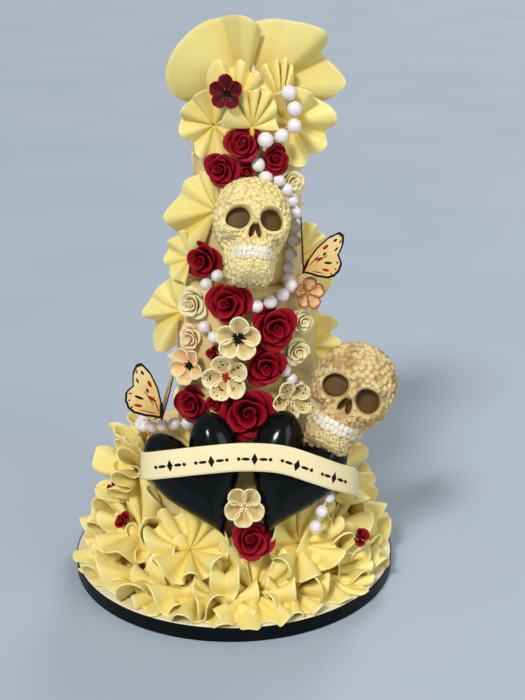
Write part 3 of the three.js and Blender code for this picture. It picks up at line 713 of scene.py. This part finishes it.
# Roses: petals wind outwards from the middle, each a little lower, wider open and more curled
ROSE = {"petals": 10, "bud_petals": 5, "bud_radius": 10, "turn": 137.5, "sunk": 0.22}
ROSE_BASE = np.array([0.4, 0.4, 0.24])
ROSE_HEART = (0.15, 0.84)
ROSE_PASTES = {"red_rose": RED, "cream_flower": CREAM_ROSE, "peach_flower": PEACH}


def petal(model, place, radius, share, middle, draw):
    """One petal, where share runs from 0 for the innermost to 1 for the outermost."""
    reach, rise = 0.27 + 0.78 * share**0.8, 0.9 - 0.38 * share**1.2
    half, lip, foot = 84 - 30 * share, 0.4 + 2.3 * share, 0.08 + 0.3 * share
    u = np.linspace(-1, 1, 13)[:, None]
    v = np.linspace(0, 1, 9)[None, :]
    up = v * (1 - 0.26 * np.abs(u) ** 2.6)
    waves = draw.uniform(0, 2 * np.pi, 3)
    angle = np.radians(middle + half * u)
    out = foot + (reach - foot) * (0.74 * up**0.72 + 0.26 * up**5)
    out = out * (1 + 0.11 * u) + 0.03 * up**3 * np.sin(2.6 * u + waves[0])
    out = out + 0.06 * up**6 * np.exp(-((u / 0.35) ** 2))
    high = rise * (1.16 * up**1.1 - 0.13 * lip * up**5) + 0.04 * up**3 * np.sin(3.1 * u + waves[1])
    # Painted shade towards the petal's foot, more on the inner petals, and a painted highlight along its
    # rim
    deep = np.clip(1.2 * (1 - v) ** 1.2 + 0.35 * (1 - share) * (1 - v), 0, 1)
    rim = (0.35 + 0.5 * share) * smoothstep(0.75, 1, v)
    slab(model, radius * polar(out, angle, high), 0.5 + 0.04 * radius, place=place, deep=deep, rim=rim)


def rolled_heart(model, place, radius):
    """The rolled middle of a rose, painted in shade colour towards its foot."""
    reach, rise = ROSE_HEART
    t = np.linspace(0, 1, 30)[:, None]
    v = np.linspace(0, 1, 6)[None, :]
    angle = 2 * np.pi * 1.4 * t
    out = reach * (0.25 + 0.75 * t) * (1 + 0.2 * v**4)
    high = rise * (0.25 + 0.75 * v) * (1 - 0.1 * t)
    slab(model, radius * polar(out, angle, high), 0.9, place=place, deep=0.9 * (1 - v) ** 0.5)


def rose(name, place, radius, slot, seed):
    draw = np.random.default_rng(seed)
    model = Model()
    count = ROSE["bud_petals"] if radius < ROSE["bud_radius"] else ROSE["petals"]
    start = draw.uniform(0, 360)
    for k in range(count):
        middle = start + ROSE["turn"] * k + draw.uniform(-8, 8)
        petal(model, place, radius, k / (count - 1), middle, draw)
    rolled_heart(model, place, radius)
    # The rose's base is painted all in the shade colour
    bead(model, place, [0, 0, ROSE["sunk"] * radius], ROSE_BASE * radius, deep=1.0)
    piece(f"{name}_petals", model, name, slot, ROSE_PASTES[slot])


def on_tier(tier, angle, height, tilt, raised=1, roll=17):
    at = around(TIERS[tier], angle, TIERS[tier]["radius"] + raised, height)
    return stance(at, [FACING * angle, tilt, roll * angle])


def make_roses():
    roses = [(name, on_tier(tier, angle, height, tilt), radius, slot)
             for slot, places in ROSES.items() for name, tier, angle, height, radius, tilt in places]
    roses += [(name, stance(at, facing), radius, "red_rose") for name, at, facing, radius in SKIRT_ROSES]
    for seed, made in enumerate(roses, SEEDS["rose"]):
        rose(*made, seed)


# Blossoms: five spoon-shaped petals, with dots, a star of stamens or coloured hollows
PETALS = 5
STAMENS = 11
BLOSSOM_RAISE = 8
BLOSSOM_LOOKS = {
    "blossom_black_eye": {"star": 0.36, "cup": 1.0, "start": 5, "raise": 12},
    "blossom_spotted": {"spots": 7, "star": 0.2, "star_kind": 2, "cup": 0.8, "start": -18, "raise": 9},
    "blossom_spotted_right": {"spots": 8, "cup": 0.8, "start": -24},
    "blossom_peach": {"star": 0.28, "blush": 0.65, "cup": 1.0, "start": 36, "paste": PEACH},
    "blossom_outlined": {"cup": 0.7, "edge": 0.84, "start": 10, "paste": OUTLINED},
    "blossom_hearts": {"cup": 1.5, "start": -32, "wide": 1.08},
    "blossom_red": {"star": 0.26, "cup": 0.5, "start": 20, "raise": 12, "paste": DARK_RED},
}


def spoon(radius, turn, cup, wide, draw):
    """A function from places on a petal, across and along it, to points of the flower."""
    long = draw.uniform(0.93, 1.0)
    tip = draw.uniform(-0.06, 0.06)
    twist = 0.05 + draw.uniform(-0.04, 0.04)

    def at(u, v):
        along = long * (0.05 + 0.95 * v)
        bowl = np.sqrt(np.clip(1 - ((v - 0.6) / 0.41) ** 2, 0, 1))
        width = 0.37 * wide * bowl + 0.07 * (1 - v) + 0.01
        side = u * width + tip * v**2
        high = 0.1 + 0.22 * v**1.3 + cup * (u**2 * width + 0.22 * v**5) + twist * u * v
        c, s = math.cos(turn), math.sin(turn)
        return radius * np.stack([along * s + side * c, along * c - side * s, high], axis=-1)

    return at


def star(model, place, radius, size, kind, draw):
    """Stamens that spread from the middle of a blossom."""
    thin = 0.05 * radius
    for turn in circle(STAMENS):
        a = turn + draw.uniform(-0.2, 0.2)
        long = 0.5 * size * radius * draw.uniform(0.7, 1.15)
        along = np.array([math.sin(a), math.cos(a), 0.3])
        across = np.cross(along, [0, 0, 1])
        axes = local_axes(place, [along * long, across * thin, (0, 0, thin)])
        blob(model, place(along * long + [0, 0, 0.2 * radius]), axes, kind, (8, 6))
    eye, high = 0.12 * radius, 0.16 * radius
    bead(model, place, [0, 0, high], (eye, eye, high), kind, (12, 8))


def blossom(name, place, radius, slot, seed):
    look = BLOSSOM_LOOKS[name]
    draw = np.random.default_rng(seed)
    model = Model()
    u = np.sin(np.linspace(-np.pi / 2, np.pi / 2, 15))[:, None]
    v = np.linspace(0, 1, 13)[None, :]
    start = math.radians(look["start"])
    edge = np.maximum(np.abs(u), v)
    for around_middle in circle(PETALS):
        turn = start + around_middle + draw.uniform(-0.08, 0.08)
        at = spoon(radius, turn, look["cup"], look.get("wide", 1.0), draw)
        # Painted shade in the bowl of each petal, and along its edge a painted highlight, which on the
        # outlined blossom is its real red outline
        deep = (0.55 + 0.45 * (1 - v)) * smoothstep(0.95, 0.35, np.abs(u)) * smoothstep(1, 0.6, v)
        rim = 0.9 * smoothstep(look.get("edge", 0.78), 0.97, edge)
        streak = look.get("blush", 0.0) * (1 - np.abs(u)) ** 1.5 * smoothstep(1, 0.3, v)
        slab(model, at(u, v), 0.07 * radius, place=place, deep=deep, rim=rim, tint=streak)
        for _ in range(look.get("spots", 0)):
            where = at(np.array(draw.uniform(-0.8, 0.8)), np.array(draw.uniform(0.4, 0.9)))
            size = draw.uniform(0.7, 1.1)
            bead(model, place, where + [0, 0, 0.035 * radius], (size, size, 0.8), 1, (10, 6))
    stalk = look.get("raise", BLOSSOM_RAISE) / 2 + 0.1 * radius
    calyx = 0.24 * radius
    # The calyx under the petals is painted all in the shade colour
    bead(model, place, [0, 0, 0.17 * radius - stalk], (calyx, calyx, stalk), 0, (14, 10), deep=1.0)
    if "star" in look:
        star(model, place, radius, look["star"], look.get("star_kind", 1), draw)
    piece(f"{name}_petals", model, name, slot, look.get("paste", CREAM), INK, RED_INK)


def make_blossoms():
    for slot, places in BLOSSOMS.items():
        for i, (name, tier, angle, height, radius, tilt) in enumerate(places):
            raised = BLOSSOM_LOOKS[name].get("raise", BLOSSOM_RAISE)
            place = on_tier(tier, angle, height, tilt, raised, 0)
            blossom(name, place, radius, slot, SEEDS["blossom"] + round(10 * radius) + i)
    for slot, (name, at, facing, radius) in LOOSE_BLOSSOMS.items():
        blossom(name, stance(at, facing), radius, slot, SEEDS["loose_blossom"])


# Pearl strings
def pearl_stop(stop):
    if not isinstance(stop[0], str):
        return stop
    tier, angle, height = stop
    return around(TIERS[tier], angle, TIERS[tier]["radius"] + PEARL["radius"] + GAP, height)


def sideways(along):
    """Two directions square to each direction of a path."""
    side = unit(np.cross(along, [0.3, 0.1, 1]))
    return side, np.cross(side, along)


def make_pearls():
    for seed, (name, stops) in enumerate(PEARLS.items()):
        draw = np.random.default_rng(seed)
        path = smooth_path([pearl_stop(stop) for stop in stops])
        length = walk(path, 2)[2]
        middles, along, _ = walk(path, round(length / PEARL["spacing"]) + 1)
        model = Model()
        for middle, *axes in zip(middles, *sideways(along), along):
            size = PEARL["radius"] * PEARL_SIZES.get(name, 1.0) * draw.uniform(0.95, 1.05)
            blob(model, middle, np.array(axes) * size, 0, (24, 16))
        thread, headings, _ = walk(path, 4 * len(middles))
        side, up = (axis[:, None] for axis in sideways(headings))
        turn = circle(8)[:, None]
        rings = thread[:, None] + PEARL["neck"] * (np.cos(turn) * side + np.sin(turn) * up)
        # The thread between the beads is painted in the shade colour
        model.grid(rings, False, True, 0, deep=1.0)
        piece(f"{name}_beads", model, name, "pearl", PEARL_LUSTRE)


# Hearts: a cushion over the heart curve, and its edge going back as (share of the outline, height)
HEART_EDGE = ((1.0, 5.0), (0.985, 1.5), (0.94, 0.0), (0.5, 0.0), (0.0, 0.0))
HEART_SMOOTHING = 30


def make_heart(name, at, azimuth, roll):
    t = circle(240)[:, None]
    across, up = HEART["width"] / 2, HEART["height"] / 29
    edge_y = 2.5 + 13 * np.cos(t) - 5 * np.cos(2 * t) - 2 * np.cos(3 * t) - np.cos(4 * t)
    edge_x = np.sign(np.sin(t)) * np.abs(np.sin(t)) ** HEART["fullness"]
    edge = np.concatenate([across * edge_x, up * edge_y], axis=1)
    rho = np.sin(np.linspace(0, np.pi / 2, 40))[None, :, None]
    flat = rho * edge[:, None]
    away = np.stack([np.min(np.linalg.norm(flat[:, k, None] - edge[None], axis=2), axis=1)
                     for k in range(rho.shape[1])], axis=1)
    full = np.clip(away / HEART["slope"], 0, 1)
    high = np.sqrt(1 - (1 - full) ** 2)
    for _ in range(HEART_SMOOTHING):
        spread = (np.roll(high, 1, axis=0) + np.roll(high, -1, axis=0)) / 2
        high[:, 1:-1] = (high[:, :-2] + high[:, 2:] + 2 * spread[:, 1:-1]) / 4
        high[:, 0] = high[:, 1].mean()
    front = np.concatenate([flat, (HEART["depth"] * (0.3 + 0.7 * high))[..., None]], axis=2)
    sides = [np.concatenate([edge * share, np.full((len(edge), 1), z)], axis=1)
             for share, z in HEART_EDGE]
    grid = np.concatenate([front, np.stack(sides, axis=1)], axis=1)
    model = Model()
    model.grid(stance(at, [azimuth, HEART["lean"], roll])(grid), True, False)
    piece(f"{name}_glazed", model, name, "black_glaze", BLACK)


# Skulls: half an outline from the chin to the crown as [angle, reach], and features, in skull widths
SKULL_OUTLINE = [
    [-90, 0.7], [-82, 0.71], [-73, 0.745], [-66, 0.695], [-56, 0.56], [-45, 0.465], [-31, 0.425],
    [-19, 0.445], [-9, 0.46], [5, 0.49], [19, 0.53], [33, 0.58], [52, 0.655], [67, 0.7],
    [90, 0.72],
]
# Mounds of the face: x, y, half width, half height, rise
SKULL_MOUNDS = [
    (0.2, 0.3, 0.2, 0.07, 0.04),
    (0.0, 0.2, 0.08, 0.1, 0.03),
    (0.0, 0.07, 0.05, 0.1, 0.045),
    (0.35, -0.06, 0.14, 0.075, 0.1),
    (0.33, -0.24, 0.1, 0.1, -0.12),
    (0.0, -0.3, 0.24, 0.15, 0.06),
    (0.0, -0.58, 0.24, 0.14, 0.08),
]
SOCKET = {"x": 0.216, "y": 0.118, "half": (0.17, 0.15), "turn": 30, "depth": 0.15}
NOSE = {"x": 0.039, "y": -0.035, "half": (0.105, 0.041), "turn": 74, "depth": 0.1}
TEETH = {"y": -0.325, "smile": 0.1, "half": 0.27, "rise": 0.026}
TOOTH_ROWS = ((0.08, 0.066, 1), (0.068, 0.056, -1))
KNOB = {"spacing": 0.056, "rise": 0.027, "pit": 0.017, "faced": 0.6}
CHIN_FACES = {"rows": ((-0.47, 4), (-0.6, 3)), "spacing": 0.135, "rise": 0.036}


def oval(x, y, shape):
    """Distance from a tilted oval's middle, 1 on its edge, for places mirrored to the right side."""
    a = math.radians(shape["turn"])
    dx, dy = np.abs(x) - shape["x"], y - shape["y"]
    along = dx * math.cos(a) - dy * math.sin(a)
    beside = dx * math.sin(a) + dy * math.cos(a)
    return np.hypot(along / shape["half"][0], beside / shape["half"][1])


def mound(across, up):
    return np.exp(-((across**2 + up**2) ** 2))


def tooth_relief(x, y):
    line = TEETH["y"] + TEETH["smile"] * x**2
    rise, white = np.zeros_like(x), np.zeros_like(x)
    for tall, wide, side in TOOTH_ROWS:
        fy = side * (y - line) / tall * 2 - 1
        fx = ((x / wide + (0.5 if side > 0 else 0)) % 1) * 2 - 1
        inside = (np.abs(fy) < 1) & (np.abs(x) < TEETH["half"])
        shape = np.sqrt(np.clip((1 - fx**4) * (1 - np.abs(fy) ** 4), 0, 1))
        rise = np.where(inside, TEETH["rise"] * shape - 0.01, rise)
        white = np.where(inside, smoothstep(0.35, 0.75, shape), white)
    return rise, white


def chin_relief(x, y):
    """Rows of tiny skulls along the chin: their rise, and the pits of eyes and mouths, sunk a little and
    darkened with painted shade.
    """
    rise, pit = np.zeros_like(x), np.zeros_like(x)
    step = CHIN_FACES["spacing"]
    for level, count in CHIN_FACES["rows"]:
        for k in range(count):
            dx = (x - (k - (count - 1) / 2) * step) / step
            dy = (y - level) / step
            rise = np.maximum(rise, np.sqrt(np.clip(1 - (dx / 0.47) ** 2 - (dy / 0.47) ** 2, 0, 1)))
            eyes = mound((np.abs(dx) - 0.17) / 0.095, (dy - 0.08) / 0.1)
            mouth = 0.7 * mound(dx / 0.18, (dy + 0.24) / 0.05)
            pit = np.maximum.reduce([pit, eyes, mouth])
    return rise, pit


def scatter(points, spacing, draw):
    """Places picked at random from points, none nearer another than the spacing."""
    free = np.ones(len(points), bool)
    picked = []
    while free.any():
        index = draw.choice(np.flatnonzero(free))
        picked.append(index)
        free &= np.linalg.norm(points - points[index], axis=1) > spacing
    return np.array(picked)


def knobs(points, normals, spacing, draw):
    """Rise and pits of many small knobs pressed side by side, most of them with two tiny eyes."""
    flat, out = points.reshape(-1, 3), normals.reshape(-1, 3)
    picked = scatter(flat[::3], spacing, draw) * 3
    middles = flat[picked]
    tilt = draw.uniform(-0.7, 0.7, len(picked))
    upright = np.stack([np.sin(tilt), np.cos(tilt), 0 * tilt], axis=1)
    side = unit(np.cross(upright, out[picked]))
    up = np.cross(out[picked], side)
    height = draw.uniform(0.6, 1.3, len(picked))
    faced = draw.uniform(0, 1, len(picked)) < KNOB["faced"]
    rise, pit = np.zeros(len(flat)), np.zeros(len(flat))
    for block in np.array_split(np.arange(len(flat)), 80):
        gap = np.linalg.norm(flat[block, None] - middles[None], axis=2)
        near = gap.argmin(axis=1)
        away = flat[block] - middles[near]
        a = np.abs(np.sum(away * side[near], axis=1)) / spacing
        b = np.sum(away * up[near], axis=1) / spacing
        dome = np.sqrt(np.clip(1 - (gap.min(axis=1) / (0.68 * spacing)) ** 2, 0, 1))
        rise[block] = dome * height[near]
        eyes = np.exp(-(((a - 0.2) / 0.12) ** 2 + ((b - 0.08) / 0.12) ** 2))
        pit[block] = eyes * faced[near]
    return rise.reshape(points.shape[:2]), pit.reshape(points.shape[:2])


def skull_outline(angle):
    stops, reaches = np.array(SKULL_OUTLINE).T
    edge = np.interp(np.degrees(np.arctan2(np.sin(angle), np.abs(np.cos(angle)))), stops, reaches)
    window = np.hanning(19) / np.hanning(19).sum()
    return np.convolve(np.pad(edge, 9, mode="wrap"), window, "valid")


def make_skull(name, slot, material):
    at, facing, width, depth, seed = SKULLS[name].values()
    turn = circle(360)
    angle, edge = turn[:, None], width * skull_outline(turn)[:, None]
    share = np.linspace(0, 1, 100)[None, :]
    x, y = share * edge * np.cos(angle) / width, share * edge * np.sin(angle) / width
    relief = sum(rise * mound((np.abs(x) - at_x) / wide, (y - at_y) / tall)
                 for at_x, at_y, wide, tall, rise in SKULL_MOUNDS)
    socket, nose = oval(x, y, SOCKET), oval(x, y, NOSE)
    hollow, slit = smoothstep(1.05, 0.82, socket), smoothstep(1.1, 0.7, nose)
    tooth, white = tooth_relief(x, y)
    face_rise, face_pit = chin_relief(x, y)
    relief = relief - SOCKET["depth"] * hollow - NOSE["depth"] * slit + tooth
    relief = relief + CHIN_FACES["rise"] * face_rise - 0.02 * face_pit
    front_z = depth * (0.35 + 0.65 * np.sqrt(1 - share**3)) + width * relief * (1 - share**6)
    front = np.stack([x * width, y * width, front_z], axis=-1)
    round_back = np.linspace(0, np.pi / 2, 24)[None, 1:]
    fade = np.cos(round_back) ** 0.7
    back_z = 0.35 * depth * np.cos(2 * np.arcsin(np.sin(round_back) ** 1.4)) + 0 * angle
    back = np.stack([fade * edge * np.cos(angle), fade * edge * np.sin(angle), back_z], axis=-1)
    points = np.concatenate([front, back], axis=1)
    round_it = np.roll(points, -1, axis=0) - np.roll(points, 1, axis=0)
    normal = unit(np.cross(np.gradient(points, axis=1), round_it))
    rise, pit = knobs(points, normal, KNOB["spacing"] * width, np.random.default_rng(seed))

    def with_back(values):
        return np.concatenate([values, np.zeros(back.shape[:2])], axis=1)

    smooth = [smoothstep(1.16, 1.02, socket), smoothstep(1.35, 1.0, nose), white,
              smoothstep(0.0, 0.25, face_rise), smoothstep(0.03, 0.0, share) + 0 * angle]
    knobbly = 1 - with_back(np.maximum.reduce(smooth))
    points = points + normal * (knobbly * width * (KNOB["rise"] * rise - KNOB["pit"] * pit))[..., None]
    # Painted shade in the knobs' eye pits, in the low places between the knobs and in the pits of the
    # chin's tiny skulls
    crevice = knobbly * (0.75 * pit + 0.6 * smoothstep(0.5, 0.1, rise)) + with_back(0.7 * face_pit)
    brown = smoothstep(0.45, 0.8, hollow) + smoothstep(0.35, 0.8, slit)
    model = Model()
    model.grid(stance(at, facing)(points), True, False, 0, deep=np.clip(crevice, 0, 1),
               rim=with_back(np.clip(brown, 0, 1)), tint=with_back(white))
    piece(f"{name}_moulded", model, name, slot, material)


# Banner: a strip that leans back with the hearts, with lozenges, strokes and dots on it
BANNER_MARKED = (0.22, 0.76, 5)
BANNER_MARKS = [
    (0, (2.8, 5.2, 0.5), (4, 9)), (7.4, (3.6, 1.3, 0.4), (14, 7)), (13.4, (1.5, 1.5, 0.4), (12, 7)),
]


def make_banner():
    middles, along, _ = walk(smooth_path(BANNER_STOPS), 120)
    upright = np.array([0, BANNER["lean"], 1.0])
    up = unit(upright - along * (along @ upright)[:, None])
    out = np.cross(along, up)
    v = np.linspace(-0.5, 0.5, 12)[None, :, None]
    bulge = BANNER["bulge"] * (1 - 4 * v**2)
    points = middles[:, None] + BANNER["width"] * v * up[:, None] + bulge * out[:, None]
    model = Model()
    slab(model, points[:, 1:], BANNER["thickness"])
    face = middles + out * (BANNER["thickness"] / 2 + BANNER["bulge"])
    for share in np.linspace(*BANNER_MARKED):
        k = round(share * (len(middles) - 1))
        axes = np.array([along[k], up[k], out[k]])
        for beside, halves, steps in BANNER_MARKS:
            for offset in sorted({-beside, beside}):
                blob(model, face[k] + offset * along[k], axes * np.array(halves)[:, None], 1, steps)
    piece("banner_strip", model, "banner", "banner", BANNER_PASTE, INK)


# Butterflies: two painted wings that rise from a slim body, each facing its own way
WING_STOPS = [
    [0, 0], [0, 0.3], [0.07, 0.58], [0.22, 0.88], [0.36, 1], [0.46, 0.92], [0.5, 0.7], [0.5, 0.6],
    [0.61, 0.5], [0.64, 0.36], [0.6, 0.22], [0.5, 0.12], [0.28, 0.05], [0, 0],
]
WING_MIDDLE = np.array([0.28, 0.45, 0])
WING_BODY = np.array([0.035, 0.17, 0.035])
PICK = 0.7
# Bands of a wing as (from, to, steps, material), and its strokes as (x, y, turn, half sizes, material)
WING_BANDS = ((0.02, 0.91, 10, 0), (0.91, 1.0, 4, 1))
WING_STROKES = [
    (0.1, 0.28, 72, 0.2, 0.012, 1), (0.22, 0.38, 58, 0.2, 0.012, 1), (0.26, 0.13, 14, 0.18, 0.012, 1),
    (0.2, 0.62, 64, 0.09, 0.04, 2), (0.17, 0.36, 40, 0.11, 0.035, 2), (0.4, 0.24, 12, 0.1, 0.036, 2),
    (0.38, 0.38, 24, 0.11, 0.034, 1), (0.24, 0.5, 70, 0.06, 0.03, 1), (0.32, 0.82, 62, 0.06, 0.03, 1),
    (0.42, 0.84, 80, 0.05, 0.022, 2), (0.41, 0.68, 70, 0.07, 0.024, 1), (0.54, 0.46, 0, 0.04, 0.024, 2),
    (0.56, 0.34, 0, 0.03, 0.02, 1), (0.52, 0.22, -20, 0.03, 0.02, 1),
]


def make_butterfly(name, at, foot, span, wings):
    edge = smooth_path([[x, y, 0] for x, y in WING_STOPS], 7)[:-1]
    scallop = 1 - 0.03 * np.abs(np.sin(np.linspace(0, 14 * np.pi, len(edge))))
    rays = (edge - WING_MIDDLE) * scallop[:, None]

    def bent(flat):
        return span * (flat + [0, 0, 0.12] * ((flat[..., :1] - 0.3) ** 2))

    model = Model()
    for facing in wings:
        place = stance(at, facing)
        for inner, outer, steps, kind in WING_BANDS:
            flat = WING_MIDDLE + np.linspace(inner, outer, steps)[None, :, None] * rays[:, None]
            away = np.linalg.norm(flat, axis=2)
            root, pale = np.exp(-((away / 0.36) ** 2)), 0.7 * smoothstep(0.5, 0.95, away)
            slab(model, bent(flat), 1.0, True, kind, place, deep=root, rim=pale)
        for x, y, turn, long, wide, kind in WING_STROKES:
            axes = local_axes(place, turn_z(turn).T * [[span * long], [span * wide], [0.8]])
            blob(model, place(bent(np.array([x, y, 0.0]))), axes, kind, (14, 7))
    bead(model, stance(at, wings[0]), [0, 0.13 * span, 0], span * WING_BODY, 1, (16, 14))
    pick = (np.array(at, float) - foot) / 2
    blob(model, foot + pick, [(PICK, 0, 0), (0, PICK, 0), pick], 0, (10, 14))
    piece(f"{name}_wings", model, name, "wing", WING_PAINT, INK, RED_INK)


# Stage: a pale floor, soft lights that face the cake, and the photograph's camera
LIT = Vector((0.02, 0, 0.22))
# Lamps: name, kind, place, size or angle, power
LAMPS = [
    ("key", "SUN", (-0.65, -1.45, 1.6), 0.2, 2.3),
    ("fill", "AREA", (1.3, -1.2, 1.2), 1.0, 9),
    ("back", "SUN", (0.5, 1.6, 1.3), 0.3, 0.9),
]


def make_stage():
    bpy.ops.mesh.primitive_plane_add(size=24, location=(0, 0, -0.0002))
    floor = bpy.context.object
    floor.name = "floor"
    paint = Paint("pale_floor")
    clouds = paint.remap(paint.noise(500, 2), 0.3, 0.7)
    colour = paint.mixed(clouds, (0.39, 0.455, 0.535), (0.425, 0.49, 0.57))
    floor.data.materials.append(paint.finish({"Base Color": colour, "Roughness": 0.8}))
    world = bpy.data.worlds.new("soft_studio")
    world.use_nodes = True
    sky = world.node_tree.nodes["Background"]
    sky.inputs["Color"].default_value = (0.94, 0.97, 1.0, 1)
    sky.inputs["Strength"].default_value = 0.31
    bpy.context.scene.world = world
    for name, kind, at, size, power in LAMPS:
        lamp = bpy.data.lights.new(name, kind)
        if kind == "SUN":
            lamp.angle = size
        else:
            lamp.size = size
        lamp.energy = power
        lit = bpy.data.objects.new(name, lamp)
        lit.location = at
        lit.rotation_euler = (LIT - Vector(at)).to_track_quat("-Z", "Y").to_euler()
        bpy.context.scene.collection.objects.link(lit)


def make_camera():
    eye, target = (Vector(CAMERA[end]) * MM for end in ("eye", "target"))
    lens = bpy.data.cameras.new("camera")
    lens.sensor_width = SENSOR
    lens.lens = FOCAL_PIXELS * SENSOR / LONG_PIXELS
    camera = bpy.data.objects.new("camera", lens)
    camera.location = eye
    camera.rotation_euler = (target - eye).to_track_quat("-Z", "Y").to_euler()
    bpy.context.scene.collection.objects.link(camera)
    bpy.context.scene.camera = camera


make_stage()
make_camera()
bpy.context.scene.view_settings.view_transform = "Standard"
make_board()
make_ribbon()
for tier_name, tier_sizes in TIERS.items():
    make_tier(tier_name, tier_sizes)
make_frills()
make_back_frills()
make_skirt()
make_roses()
make_blossoms()
make_pearls()
for heart_name, heart_place in HEARTS.items():
    make_heart(heart_name, *heart_place)
make_skull("skull_upper", "skull_pale", BONE_PALE)
make_skull("skull_lower", "skull_antique", BONE_ANTIQUE)
make_banner()
for butterfly_name, butterfly in BUTTERFLIES.items():
    make_butterfly(butterfly_name, **butterfly)
